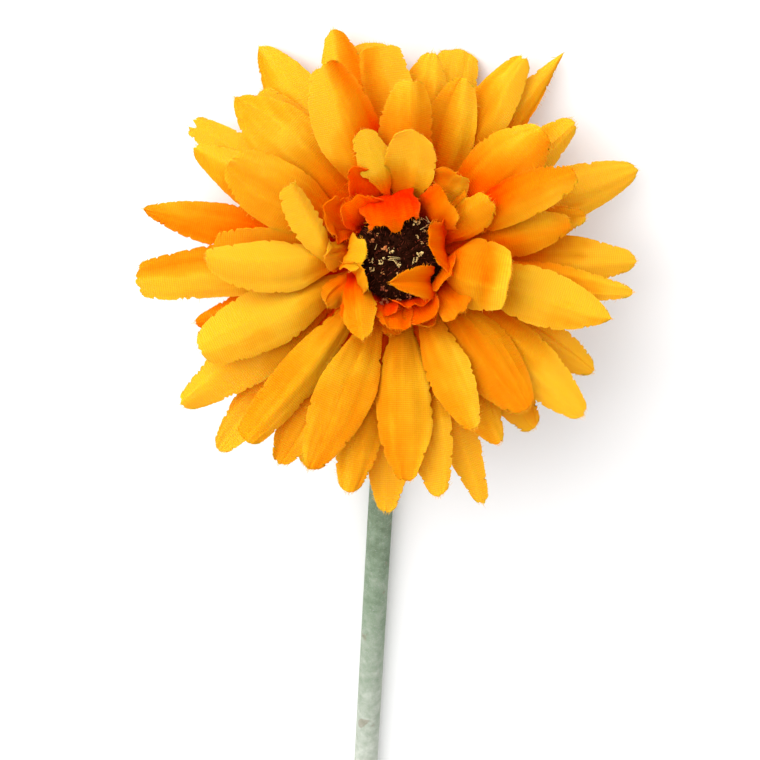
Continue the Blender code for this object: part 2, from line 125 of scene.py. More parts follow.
# Stem and wire.
STEM_RADIUS_TOP, STEM_RADIUS_END = 3.1, 2.85
STEM_RUN = 262.0
STEM_SLANT, STEM_SLANT_START, STEM_BOW = 3.6, 7.0, 2.5
STEM_SOLID_SIDES = 12
STEM_SIDES = 40
BEND_RINGS, RUN_RINGS = 28, 90
PIN_RADIUS, PIN_TOP = 2.0, 10.0
SHOULDER = -3.0
BEND_START = -12.0
BORE_RADIUS, BORE_TOP, BORE_FLARE = 1.15, -1.0, 0.1
END_CHAMFER = 0.12
STEM_SMOOTH = 40

# Calyx and heart, as (radius, height).
TURNED_SIDES = 48
CALYX_SMOOTH = 50
CALYX_OUTSIDE = (
    (3.4, -10.9), (4.6, -11.0), (5.0, -10.6), (5.7, -9.2), (6.5, -7.8), (7.5, -6.4), (8.6, -4.9),
    (9.6, -3.4), (10.3, -2.2), (10.6, -1.2), (10.6, -0.3), (10.3, 0.0), (6.0, 0.0), (2.4, 0.0),
)
HEART_OUTSIDE = (
    (5.8, 6.6), (7.4, 7.0), (8.6, 7.8), (9.4, 8.8), (9.6, 9.8), (9.3, 10.8), (8.4, 11.7), (7.2, 12.4),
    (5.6, 12.9), (3.8, 13.3), (1.9, 13.5), (0.5, 13.55),
)
HEART_REACH = 9.2
DOME_START, LUMPS_START = 9.8, 9.0
GOLDEN_ANGLE = 137.508
NEEDLES = 1700
NEEDLE_RADIUS, NEEDLE_SINK = 0.13, 0.3
CRUMB_PARTS = 9
CRUMB_RISE = 0.5
FILAMENT_RADIUS, FILAMENT_RISE, FILAMENT_TONE = 0.07, 0.35, 0.95
DOME_TONE = 0.15
HEART_SMOOTH = 60


class Layer(NamedTuple):
    """One die-cut cloth disc: its petals as (clock angle, reach, width), and how they stand."""

    name: str
    petals: tuple
    hub: float
    lift: float
    curl: float
    sway: float = 1.0
    teeth: float = 0.0
    tip: tuple = LONG_TIP
    posed: dict = {}


class Petal(NamedTuple):
    """One petal of a layer, from its root on the hub's edge to its tip."""

    clock: float
    seat: float
    root: tuple
    heading: float
    length: float
    width: float
    foot: float
    lift: float
    curl: float
    camber: float
    keel: float
    twist: float
    teeth: float
    tip: tuple


class Marks(NamedTuple):
    """What the cutter and the mould left on one petal, and its dye with painted shade. Places across it run
    from -1 to 1.
    """

    swell: float
    ridge: tuple
    cup: float
    raised_side: float
    tip_curl: float
    folds: tuple
    buckles: tuple
    waves: tuple
    end: tuple
    tip_lean: float
    ruffle: tuple
    dye: float
    side_dye: float
    dents: tuple = ()
    nicks: tuple = ()


LAYERS = (
    Layer(
        "petal_layer_1",
        (
            (16, 48, 12.5), (39, 57, 8), (70, 56, 12), (91, 52, 11), (120, 50, 11), (140, 48, 11),
            (161, 57, 9), (182, 56, 11), (203, 50, 12), (224, 57, 11), (250, 46, 9), (280, 57, 10),
            (304, 54, 9), (328, 55, 12.5), (352, 47, 12),
        ),
        hub=10.7, lift=-8.0, curl=-14.0,
    ),
    Layer(
        "petal_layer_2",
        (
            (10, 45, 12), (32, 51.5, 11), (54, 48, 11), (77, 42, 10), (99, 51.5, 8), (129, 53, 12),
            (152, 46, 11), (170, 53, 11), (191, 52, 11), (210, 52, 12), (235, 57, 12), (265, 57, 12),
            (297, 50.5, 11), (320, 47, 11), (343, 51, 12.5),
        ),
        hub=10.5, lift=0.0, curl=-14.0,
    ),
    Layer(
        "petal_layer_3",
        (
            (21, 41, 12), (49, 43, 15), (80, 38, 10), (107, 48, 12.5), (141, 43.5, 14), (158, 42, 10),
            (179, 49, 12.5), (201, 50, 13.5), (219, 52, 11.5), (245, 47.5, 13.5), (272, 40, 10),
            (297, 43, 14.5), (316, 49, 15), (337, 48, 14), (356, 46, 12),
        ),
        hub=10.3, lift=9.0, curl=-10.0,
    ),
    Layer(
        "petal_layer_4",
        (
            (3, 39, 12), (34, 25, 10), (65, 43, 10), (97, 28, 14.5), (130, 19, 6.5), (158, 18, 6),
            (186, 18, 6), (214, 18, 6), (238, 20, 6.5), (261, 41, 11.5), (298, 31, 7), (333, 25, 8),
        ),
        hub=10.1, lift=23.0, curl=4.0,
        posed={97: dict(lift=14, curl=-62, camber=-1.5, twist=0)},
    ),
    Layer(
        "frill_outer",
        (
            (13, 22, 9), (43, 12.5, 7.4), (73, 11, 6.6), (103, 11.5, 6.8), (133, 11, 7.2),
            (163, 12.5, 7.4), (187, 11, 7), (207, 17, 7), (235, 11, 7), (264, 12.5, 7.4),
            (300, 11, 6.8), (341, 22, 7),
        ),
        hub=9.9, lift=47.0, curl=8.0, sway=0.6, teeth=0.08, tip=BLUNT_TIP,
        posed={207: dict(tip=LONG_TIP)},
    ),
    Layer(
        "frill_inner",
        (
            (0, 18, 10.5), (42, 9, 6.6), (83, 9.5, 6.6), (125, 16, 7), (170, 9, 7), (212, 9.5, 6.6),
            (240, 9, 6.6), (277, 14.5, 7), (317, 9, 6.6),
        ),
        hub=9.4, lift=78.5, curl=38.0, sway=0.3, teeth=0.1, tip=BLUNT_TIP,
        posed={
            0: dict(lift=115, curl=150),
            125: dict(lift=117, curl=116, teeth=0.02, tip=SHARP_TIP),
            277: dict(lift=104, curl=120, teeth=0.02),
        },
    ),
)

# What the photo shows of single petals, by layer and clock angle, in place of what the draws give them:
# first how a petal stands and is cut, then its marks. One side of a petal is yellower where its side value is
# positive, partly as dye and partly as painted light and shade on the two sides of a fold.
SEEN = {
    "petal_layer_1": {
        16: dict(end=(0.5, 0.55)),
        39: dict(side_dye=-0.2, end=(0.05, 1.1)),
        120: dict(dye=0.2, swell=1),
        182: dict(dye=0.14),
        250: dict(dye=-0.5, end=(0.25, 0.9)),
        280: dict(dye=-0.38, side_dye=0.1, end=(0.12, 0.9)),
        304: dict(end=(0.4, 0.7), nicks=((-0.1, 0.05, 0.3), (0.5, 0.02, 0.12), (-0.7, 0.02, 0.1))),
        328: dict(side_dye=0.4, swell=1.2, end=(0.14, 0.85)),
        352: dict(end=(0.7, 0.6)),
    },
    "petal_layer_2": {
        32: dict(side_dye=0.15, ridge=(0.1, 1.6)),
        235: dict(dye=0.15),
        265: dict(
            dye=-0.05, side_dye=-0.25, ridge=(-0.55, 1.4), end=(0.45, 0.6),
            nicks=((-0.5, 0.014, 0.12), (0.15, 0.01, 0.1), (0.65, 0.016, 0.12)),
        ),
        343: dict(side_dye=-0.25, ridge=(-0.1, 1.5)),
    },
    "petal_layer_3": {
        107: dict(ridge=(0.3, 1.4), end=(0.05, 0.9)),
        141: dict(width=13, dye=-0.24, swell=1.8),
        179: dict(dye=-0.1),
        201: dict(width=12.5, dye=-0.1),
        219: dict(width=9.5, dye=-0.08, end=(0.45, 0.6)),
        245: dict(dye=0.18, side_dye=0.1, swell=1.4, end=(0.3, 0.6)),
        272: dict(dye=-0.3, side_dye=0.3, swell=0, ridge=(0, 0), cup=2.2, end=(0.5, 0.6)),
        297: dict(dye=0.02, side_dye=0.05, swell=2, end=(0.2, 0.7)),
        316: dict(dye=0.02, swell=2, end=(0.12, 1)),
        337: dict(dye=0.03, side_dye=-0.3, ridge=(0, 2)),
        356: dict(side_dye=0.25, cup=1.2, end=(0.6, 0.6)),
    },
    "petal_layer_4": {
        3: dict(dye=0.1, swell=1),
        34: dict(dye=0.42, swell=2, end=(0.4, 0.55)),
        97: dict(
            root=(8.8, -2.4, 4), width=15.5, dye=0.3, side_dye=0, swell=3, ridge=(0, 0), cup=0,
            raised_side=0, tip_curl=6, end=(0.6, 0.5),
            dents=(
                (0.7, -0.6, -1.5, 0.4), (0.78, -0.2, -1.5, 0.4),
                (0.8, 0.2, -1.5, 0.4), (0.74, 0.6, -1.5, 0.4),
            ),
        ),
        261: dict(heading=256, dye=0.53, side_dye=0.15, swell=1.4, end=(0.25, 0.7), tip_lean=0.5),
        298: dict(
            heading=328, root=(-13.6, -3.4, 6.6), foot=1, lift=25, length=23.5, width=7, curl=-14, camber=0,
            keel=0, twist=-10, dye=0.8, swell=0.7, cup=0, raised_side=0, end=(0.45, 0.6), tip_lean=0.1,
            folds=(), dents=(), waves=((9, 0.2, 0.03), (14, 0.5, 0.03), (1, 0.6, 0.05)),
        ),
    },
    "frill_outer": {
        13: dict(
            teeth=0.01, dye=0.75, side_dye=0.2, swell=0, cup=0.8, end=(0.4, 0.5), ruffle=(1, 0, 0.2),
            folds=((0.3, 0, 0.3, 0.2),),
        ),
        43: dict(dye=0.2, swell=0.8),
        73: dict(dye=0.36, swell=1.2, cup=0, end=(0.4, 0.6)),
        103: dict(root=(8.8, -3.4, 4.9), dye=0.05, cup=0.9),
        133: dict(dye=0.18, swell=0.7, ruffle=(2.4, 0.2, 0.5)),
        163: dict(dye=-0.05, cup=1.4, end=(0.5, 0.6)),
        187: dict(dye=0, cup=1.6, end=(0.5, 0.6)),
        207: dict(dye=0, ridge=(0, 1)),
        235: dict(dye=0.35, side_dye=-0.15, ridge=(-0.3, 2.2), end=(0.2, 0.7), ruffle=(1, 0, 0)),
        264: dict(dye=0.45, swell=0.8, end=(0.2, 0.7)),
        300: dict(dye=0, swell=0, cup=2.4, end=(0.5, 0.6)),
        341: dict(
            root=(-2, 11.8, 8.6), foot=1, camber=0, keel=0, teeth=0.01, dye=1, ridge=(0.2, 0.8),
            end=(0.35, 0.6), ruffle=(1, 0, 0), buckles=(),
        ),
    },
    "frill_inner": {
        0: dict(
            heading=346, root=(-2, 10.8, 5.7), length=15.2, width=12.6, teeth=-0.24, dye=-0.18,
            ridge=(-0.2, 0.7), end=(0.85, 0.5), ruffle=(1.6, 0.4, 0.5),
        ),
        42: dict(dye=0.05, side_dye=0.25, swell=0.6, ridge=(0.3, 1.4), end=(0.6, 0.5)),
        83: dict(dye=0, swell=1, end=(0.6, 0.6), ruffle=(2.6, 0.3, 0.4)),
        125: dict(
            heading=84, root=(6.4, -5.9, 5.7), length=22.5, width=7.6, dye=0.14, swell=0.6, ridge=(0, 0.5),
            end=(0.08, 0.9),
        ),
        170: dict(dye=-0.2, cup=1.4, ruffle=(2, 0.4, 0.5)),
        212: dict(dye=-0.2, cup=1.2, ruffle=(1.6, 0.1, 0.5)),
        240: dict(dye=0.3, ridge=(0.2, 0.9), end=(0.5, 0.6)),
        277: dict(
            heading=286, root=(-9.3, 0.2, 5.7), foot=2.4, width=8, dye=0.45, swell=0.6, end=(0.5, 0.6),
            tip_lean=0, ruffle=(1, 0, 0),
        ),
        317: dict(dye=-0.1, swell=0, cup=1.6),
    },
}

# How handling has left the frills' petals, by layer, as rows of a clock angle and these values.
STAND = ("heading", "lift", "length", "width", "curl", "twist")
STANDING = {
    "frill_outer": (
        (13, 9, 44, 23.5, 11, 8, 6), (43, 58, 36, 13, 8.5, 20, 10), (73, 58, 34, 17.5, 8, -20, -8),
        (103, 118, 76, 11, 9, -10, 10), (133, 134, 42, 13, 8.5, -20, 12), (163, 152, 54, 10.5, 9, -40, -14),
        (187, 184, 50, 10.5, 9, -44, 10), (207, 212, 42, 11, 8, -20, -20),
        (235, 176, 40, 19.5, 7.4, -30, -25), (264, 254, 46, 10, 6.5, 16, 40),
        (300, 288, 44, 11.5, 9.5, 36, -10), (341, 340, 30, 18.6, 7.6, -10, -4),
    ),
    "frill_inner": (
        (42, 40, 58, 13, 10.5, 10, 16), (83, 80, 103, 14, 11.5, 112, 0), (170, 168, 68, 8, 9, -30, 8),
        (212, 204, 62, 8, 9, -30, -10), (240, 236, 98, 13.5, 8, 88, 0), (317, 322, 60, 12, 10, -20, 10),
    ),
}
for layer_name, stands in STANDING.items():
    for clock, *values in stands:
        SEEN[layer_name][clock].update(zip(STAND, values))


# Shape rule.


def eased(share):
    """0 to 1, with a soft start and end."""
    share = np.clip(share, 0.0, 1.0)
    return share * share * (3.0 - 2.0 * share)


def half_width(petal, along, tip):
    """A petal's half width at each place from root to tip. Narrow petals are the more pointed ones."""
    foot = petal.foot / petal.width
    opening = foot + (1.0 - foot) * eased(along / WIDEST_AT)
    closing = np.clip((along - WIDEST_AT) / (1.0 - WIDEST_AT), 0.0, 1.0)
    rounding = np.interp(petal.width, (NARROW, BROAD), (POINTED, ROUNDED))
    share, power = tip
    return petal.width / 2 * opening * (share + (1.0 - share) * (1.0 - closing**rounding) ** power)


def surface(petal, along, side, relief=0.0):
    """Points of a petal's middle surface, side millimetres off its middle line, raised by the relief."""
    start = math.radians(petal.lift - petal.curl / 2)
    turn = math.radians(petal.curl)
    slope = start + turn * along
    out = petal.length * (np.sin(slope) - math.sin(start)) / turn
    up = petal.length * (math.cos(start) - np.cos(slope)) / turn
    across = np.clip(side / half_width(petal, along, petal.tip), -PRESS_REACH, PRESS_REACH)
    swell = np.sin(math.pi * np.clip(along * PRESS_RUN + PRESS_START, 0.0, 1.0))
    height = relief + swell * (petal.camber * across**2 + petal.keel * np.abs(across))
    roll = math.radians(petal.twist) * along
    sideways = side * np.cos(roll) - height * np.sin(roll)
    raised = side * np.sin(roll) + height * np.cos(roll)
    ahead = out - raised * np.sin(slope)
    above = up + raised * np.cos(slope)
    heading = math.radians(petal.heading)
    x = petal.root[0] + ahead * math.sin(heading) + sideways * math.cos(heading)
    y = petal.root[1] + ahead * math.cos(heading) - sideways * math.sin(heading)
    return np.stack([x, y, petal.root[2] + above], axis=-1)


def drawn_petals(layer, level, draw):
    """The layer's petals before they settle. Roots are evenly spaced, and each leans to its clock angle."""
    pitch = 360.0 / len(layer.petals)
    first = sum(clock - i * pitch for i, (clock, _, _) in enumerate(layer.petals)) / len(layer.petals)
    stands = layer.lift > UPRIGHT
    petals = []
    for i, (clock, reach, width) in enumerate(layer.petals):
        seat = math.radians(first + i * pitch)
        root = (layer.hub * math.sin(seat), layer.hub * math.cos(seat), level)
        tip_x = reach * math.sin(math.radians(clock))
        tip_y = reach * math.cos(math.radians(clock))
        raised = STAGGER * (i % 2) if stands else 0.0
        petal = Petal(
            clock=clock,
            seat=seat,
            root=root,
            heading=math.degrees(seat if stands else math.atan2(tip_x - root[0], tip_y - root[1])),
            length=reach,
            width=width,
            foot=FOOT_SHARE * math.radians(pitch) * layer.hub,
            lift=layer.lift + draw.uniform(-LIFT_SPREAD, LIFT_SPREAD) * layer.sway + raised,
            curl=layer.curl + draw.uniform(-CURL_SPREAD, CURL_SPREAD) * layer.sway,
            camber=draw.uniform(*CAMBERS) * layer.sway * width / BROAD,
            keel=draw.uniform(*KEELS) * layer.sway * width / BROAD,
            twist=draw.uniform(-TWIST_SPREAD, TWIST_SPREAD) * layer.sway,
            teeth=layer.teeth,
            tip=layer.tip,
        )
        petal = petal._replace(**layer.posed.get(clock, {}))
        if not stands:
            start = math.radians(petal.lift - petal.curl / 2)
            turn = math.radians(petal.curl)
            run = math.hypot(tip_x - root[0], tip_y - root[1])
            petal = petal._replace(length=run * turn / (math.sin(start + turn) - math.sin(start)))
        petals.append(petal)
    return petals


def solid_tree(name):
    """A node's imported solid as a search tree, in millimetres in the bloom's frame."""
    mesh = frame["nodes"][name].data
    points = np.empty(len(mesh.vertices) * 3, np.float32)
    mesh.vertices.foreach_get("co", points)
    back = np.array(BLOOM.inverted())
    points = points.reshape(-1, 3) / MM @ back[:3, :3].T + back[:3, 3]
    return BVHTree.FromPolygons(points.tolist(), [tuple(face.vertices) for face in mesh.polygons])


def laid_down(petal, solid):
    """The petal with the lift that it settled to on those beneath it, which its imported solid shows."""
    along, across = np.meshgrid(HELD_ALONG, HELD_ACROSS, indexing="ij")
    side = across * half_width(petal, along, petal.tip)

    def misfit(lift):
        points = surface(petal._replace(lift=lift), along, side).reshape(-1, 3)
        return sum(abs(solid.find_nearest(Vector(point))[3] - SOLID_CLOTH / 2) for point in points)

    near = min(np.arange(petal.lift - 2.0, petal.lift + MOST_SETTLED), key=misfit)
    return petal._replace(lift=float(min(np.arange(near - 0.9, near + 1.0, 0.1), key=misfit)))


# Marks of cutting and pressing.


def as_seen(drawn, layer, clock):
    """A petal or its marks, with what the photo shows in place of what was drawn."""
    seen = SEEN[layer.name].get(clock, {})
    return drawn._replace(**{name: seen[name] for name in drawn._fields if name in seen})


def drawn_marks(layer, petal, upper, draw):
    """One petal's own form, creases, outline and tip. Only the upper petals of a layer have free edges."""
    sway = draw.uniform

    def drawn(count, *ranges):
        return tuple(tuple(sway(*ends) for ends in ranges) for _ in range(count))

    kind = draw.choice(("swell", "ridge", "cup", "side") if upper else ("swell", "ridge", "ridge"))
    folds = tuple(
        (place + sway(-0.2, 0.2), sway(-0.3, 0.3), sway(-0.55, 0.55), sway(0.06, 0.16))
        for place in FOLD_PLACES
    )
    if layer.teeth:
        marks = Marks(
            swell=sway(-0.5, 0.6), ridge=(sway(-0.4, 0.4), sway(-0.3, 0.8)), cup=sway(-0.2, 0.6),
            raised_side=0.0, tip_curl=sway(-1.0, 1.0), folds=folds,
            buckles=drawn(1, (0.8, 2.2), (0, 1), (0.1, 0.5)),
            waves=drawn(3, (0.8, 3.0), (0, 1), (0.02, 0.08)),
            end=(sway(0.3, 0.8), sway(0.45, 0.7)), tip_lean=sway(-0.15, 0.15),
            ruffle=(sway(1.0, 2.2), sway(0, 2), sway(0.1, 0.45)),
            dye=sway(-0.1, 0.25), side_dye=sway(-0.1, 0.1),
        )
    else:
        marks = Marks(
            swell=sway(1.0, 2.0) if kind == "swell" else sway(0.0, 0.5),
            ridge=(sway(-0.35, 0.35), sway(1.0, 2.2) if kind == "ridge" else sway(0.0, 0.3)),
            cup=sway(0.9, 1.8) if kind == "cup" else 0.0,
            raised_side=sway(1.0, 2.0) * draw.choice((-1, 1)) if kind == "side" else 0.0,
            tip_curl=sway(-1.2, 2.4), folds=folds,
            buckles=drawn(2, (0.6, 3.0), (0, 1), (0.1, 0.45)),
            waves=drawn(4, (0.8, 3.0), (0, 1), (0.004, 0.02)),
            end=(sway(0.22, 0.38), sway(0.85, 1.15)), tip_lean=sway(-0.12, 0.12),
            nicks=drawn(3, (-0.8, 0.8), (0.0, 0.012), (0.08, 0.2)),
            ruffle=(1.0, 0.0, 0.0),
            dents=drawn(3, (0.35, 0.95), (-0.8, 0.8), (-0.8, 0.5), (0.3, 0.7)),
            dye=sway(-0.12, 0.12), side_dye=sway(-0.18, 0.18),
        )
    return as_seen(marks, layer, petal.clock)


def tousled(petal, draw):
    """A frill's petal, bent out of line by handling. Those that fold over the heart keep their place."""
    sway = draw.uniform
    petal = petal._replace(width=petal.width * sway(1.05, 1.4))
    if petal.lift < FOLDED_OVER:
        petal = petal._replace(
            heading=petal.heading + sway(-10, 10), twist=petal.twist + sway(-24, 24),
            curl=petal.curl + sway(-30, 34), lift=petal.lift + sway(-5, 5),
            length=petal.length * sway(0.9, 1.15), teeth=petal.teeth * sway(0.1, 0.7),
        )
    return petal


def creases(marks, along, across):
    """Long folds and round dents, in millimetres."""
    rise = 0 * along
    for place, lean, depth, spread in marks.folds:
        fold = np.exp(-(((across - place - lean * along) / spread) ** 2))
        rise += depth * fold * (1.0 - FOLD_FADE * along**4)
    for place, side, depth, size in marks.dents:
        rise += depth * np.exp(-(((along - place) * DENT_RATIO / size) ** 2) - ((across - side) / size) ** 2)
    return rise


def relief(marks, along, across):
    """How far the mould, creases, buckled edges and ruffles raise the cloth, in millimetres."""
    top, height = marks.ridge
    tent = np.where(across > top, (1.0 - across) / (1.0 - top), (1.0 + across) / (1.0 + top))
    inside = np.clip(1.0 - across**2, 0.0, 1.0)
    rise = marks.swell * inside + height * np.clip(tent, 0.0, 1.0) + marks.cup * across**2
    rise += np.abs(marks.raised_side) * (1.0 + np.sign(marks.raised_side) * across) / 2
    rise *= 1.0 - TIP_FLATNESS * along**5
    rise += creases(marks, along, across)
    for count, phase, depth in marks.buckles:
        rise += depth * across * np.abs(across) * np.sin(2 * math.pi * (count * along + phase))
    rise += marks.tip_curl * np.clip((along - TIP_START) / (1.0 - TIP_START), 0.0, 1.0) ** 2
    count, phase, depth = marks.ruffle
    rise += depth * np.sin(math.pi * (count * across + phase)) * along
    return rise * eased(along / FLAT_ROOT)


def outline(petal, marks, along, across):
    """Millimetres off the middle line: an uneven outline, whose tip leans to one side."""
    wander = 1.0 + 0 * along
    for count, phase, share in marks.waves:
        wander += share * np.sin(2 * math.pi * (count * along + phase + SIDE_PHASE * np.sign(across)))
    wide = half_width(petal, along, marks.end)
    return across * wide * wander + marks.tip_lean * petal.width * np.clip(along, 0, 1) ** 3


def pinked(petal, along, across):
    """A frill's petal ends in teeth: each place along it is cut back by its share of the length."""
    large = np.abs(1.0 - 2.0 * np.abs(across)) * np.where(np.abs(across) > 0.5, SIDE_TEETH, 1.0)
    small = np.abs((across * SMALL_TEETH) % 2.0 - 1.0)
    share = 1.0 if petal.length > LONG_FRILL else SHORT_TEETH
    cut = petal.teeth * large * share + SMALL_SHARE * abs(petal.teeth) * small + FRILL_ROUND * across**2
    return along - cut * along**3


def nicked(marks, along, across):
    """The tip's edge, with the small nicks of a worn cutter."""
    for place, depth, spread in marks.nicks:
        along = along - depth * np.exp(-(((across - place) / spread) ** 2)) * np.clip(along, 0, 1) ** 12
    corner = 1.0 - np.sqrt(1.0 - CORNER * np.clip(np.abs(across), 0.0, 1.0) ** 2)
    return along - TIP_ROUND * corner * np.clip(along, 0, 1) ** 16


def even_rows(petal):
    """Places from root to tip, closer together where the tip rounds off."""
    count = max(round(petal.length / ROW_STEP), FEWEST_ROWS)
    return 1.0 - (1.0 - np.linspace(0.0, 1.0, count)) ** TIP_CROWDING


def even_columns(petal):
    """Places across, an odd number, so that one lies on the middle line."""
    half = max(round(petal.width / COLUMN_STEP / 2), FEWEST_COLUMNS)
    return np.linspace(-1.0, 1.0, 2 * half + 1)


def worn(draw):
    """How far one place on a cut edge is worn back, in millimetres: a little, and here and there a bite."""
    chance = draw.random()
    return HEM_RAGGED * chance + HEM_BITE * max(chance - 1.0 + BITE_CHANCE, 0.0) / BITE_CHANCE


def cut_cloth(petal, marks, draw):
    """The visible petal: its points row by row, and its place in the flat cloth in millimetres."""
    along, across = np.meshgrid(even_rows(petal), even_columns(petal), indexing="ij")
    rows, columns = along.shape
    ragged = np.array([[worn(draw) for _ in range(rows)] for _ in range(2)])
    wide = half_width(petal, along, marks.end)
    across = across.copy()
    across[:, 0] += ragged[0] / wide[:, 0]
    across[:, -1] -= ragged[1] / wide[:, -1]
    along[-1] -= np.array([draw.uniform(0, HEM_RAGGED) for _ in range(columns)]) / petal.length
    along = pinked(petal, along, across) if petal.teeth else nicked(marks, along, across)
    side = outline(petal, marks, along, across)
    points = surface(petal, along, side, relief(marks, along, across))
    return points, np.stack([side, along * petal.length], axis=-1), along, across


def hub_rows(petal, pitch, hub, across):
    """The petal's share of the hub ring, from the pin's hole to where the slits between petals start."""
    radii = np.array([HOLE_RADIUS, *HUB_RINGS, hub - SLIT])[:, None]
    angle = petal.seat + across * pitch / 2
    x = radii * np.sin(angle)
    y = radii * np.cos(angle)
    points = np.stack([x, y, np.full_like(x, petal.root[2])], axis=-1)
    cloth = np.stack([radii * across * pitch / 2, np.broadcast_to(radii - hub, x.shape)], axis=-1)
    return points, cloth


# Modelling helpers.


def deselect():
    bpy.ops.object.select_all(action="DESELECT")


def pick(*pieces):
    """Selects these pieces alone, the last of them active."""
    deselect()
    for piece in pieces:
        piece.select_set(True)
    bpy.context.view_layer.objects.active = pieces[-1]


@contextmanager
def editing(piece):
    """Edit mode on one piece. It gives the mesh for picking elements by place, with none selected."""
    pick(piece)
    bpy.ops.object.mode_set(mode="EDIT")
    bpy.ops.mesh.select_all(action="DESELECT")
    yield bmesh.from_edit_mesh(piece.data)
    bpy.ops.object.mode_set(mode="OBJECT")


def primitive(operator, **settings):
    """A new primitive, with its place in its mesh."""
    deselect()
    operator(**settings)
    bpy.ops.object.transform_apply(location=True)
    return bpy.context.object


def linked(name, data):
    made = bpy.data.objects.new(name, data)
    bpy.context.scene.collection.objects.link(made)
    return made


def named(piece, name):
    piece.name = name
    piece.data.name = name
    return piece


def joined(pieces, name):
    """One piece of several, all in the first one's mesh."""
    pick(*pieces[1:], pieces[0])
    if len(pieces) > 1:
        bpy.ops.object.join()
    return named(bpy.context.view_layer.objects.active, name)


def all_over(piece, operator, **settings):
    """One operator of edit mode on the whole piece."""
    with editing(piece):
        bpy.ops.mesh.select_all(action="SELECT")
        operator(**settings)


def welded(piece, distance):
    all_over(piece, bpy.ops.mesh.remove_doubles, threshold=distance)


def facing_out(piece):
    all_over(piece, bpy.ops.mesh.normals_make_consistent, inside=False)


def closed(piece, sides):
    """Fills the round openings that are left, and turns all faces outwards."""
    with editing(piece) as mesh:
        for edge in mesh.edges:
            edge.select = edge.is_boundary
        bpy.ops.mesh.fill_holes(sides=sides)
    facing_out(piece)


def finished(piece, modifier, **settings):
    """Adds a modifier with these settings and applies it."""
    pick(piece)
    added = piece.modifiers.new(modifier.title(), modifier)
    for key, value in settings.items():
        setattr(added, key, value)
    bpy.ops.object.modifier_apply(modifier=added.name)


def smoothed(piece, degrees):
    pick(piece)
    bpy.ops.object.shade_smooth_by_angle(angle=math.radians(degrees))


def points_of(piece):
    points = np.empty(len(piece.data.vertices) * 3, np.float32)
    piece.data.vertices.foreach_get("co", points)
    return points.reshape(-1, 3).astype(float)


def move_points(piece, points):
    piece.data.vertices.foreach_set("co", np.asarray(points, np.float32).ravel())
    piece.data.update()


def placed(points, matrix):
    """Points in millimetres, taken through a matrix to the table's frame, in metres."""
    turn = np.array(matrix)
    return (points @ turn[:3, :3].T + turn[:3, 3]) * MM


def record(piece, name, values):
    """Keeps one number for each vertex, for the materials to read."""
    layer = piece.data.attributes.new(name, "FLOAT", "POINT")
    layer.data.foreach_set("value", np.asarray(values, np.float32).ravel())


def sheet(points, cloth, **numbers):
    """A grid laid out to rows of points. Its UV map holds the flat cloth's own millimetres."""
    rows, columns = points.shape[:2]
    made = primitive(
        bpy.ops.mesh.primitive_grid_add, x_subdivisions=columns - 1, y_subdivisions=rows - 1, size=1.0,
    )
    move_points(made, points.reshape(-1, 3))
    corners = np.empty(len(made.data.loops), np.int32)
    made.data.loops.foreach_get("vertex_index", corners)
    flat = cloth.reshape(-1, 2)[corners]
    made.data.uv_layers.active.data.foreach_set("uv", np.asarray(flat, np.float32).ravel())
    for name, values in numbers.items():
        record(made, name, values)
    return made


def turned(name, profile, sides):
    """A skin of revolution about the bloom's axis, drawn up ring by ring along (radius, height)."""
    (radius, height), *rest = profile
    circle = bpy.ops.mesh.primitive_circle_add
    made = named(primitive(circle, vertices=sides, radius=radius * MM, location=(0, 0, height * MM)), name)
    bpy.ops.object.mode_set(mode="EDIT")
    for wider, higher in rest:
        bpy.ops.mesh.extrude_region_move(TRANSFORM_OT_translate={"value": (0, 0, (higher - height) * MM)})
        scale = wider / radius
        bpy.ops.transform.resize(value=(scale, scale, 1), center_override=(0, 0, higher * MM))
        radius, height = wider, higher
    bpy.ops.object.mode_set(mode="OBJECT")
    return made


def scattered(name, pattern, places, tones):
    """Copies of one small pattern in one mesh. The places are 4 x 4 matrices in the bloom's frame."""
    base = points_of(pattern)
    faces = np.array([face.vertices for face in pattern.data.polygons])
    places = np.array([np.array(BLOOM) @ place for place in places])
    points = np.einsum("nij,kj->nki", places[:, :3, :3], base) + places[:, None, :3, 3]
    every = faces[None] + (np.arange(len(places)) * len(base))[:, None, None]
    mesh = bpy.data.meshes.new(name)
    mesh.from_pydata(points.reshape(-1, 3).tolist(), [], every.reshape(-1, faces.shape[1]).tolist())
    made = linked(name, mesh)
    record(made, "tone", np.repeat(tones, len(base)))
    move_points(made, points_of(made) * MM)
    bpy.data.objects.remove(pattern)
    return made


def shaken(draw, reach):
    return [draw.uniform(-reach, reach) for _ in range(3)]


def frame_along(direction, draw):
    """A rotation whose third column is the direction, spun at random about it."""
    ahead = Vector(direction).normalized()
    turn = ahead.to_track_quat("Z", "Y").to_matrix()
    return np.array(turn @ Matrix.Rotation(draw.uniform(0, 2 * math.pi), 3, "Z"))


def place_of(origin, turn, thickness, length):
    """A 4 x 4 matrix that sets a pattern of unit length along Z down at a point, this thick and long."""
    matrix = np.eye(4)
    matrix[:3, :3] = turn @ np.diag([thickness, thickness, length])
    matrix[:3, 3] = origin
    return matrix


# Materials.


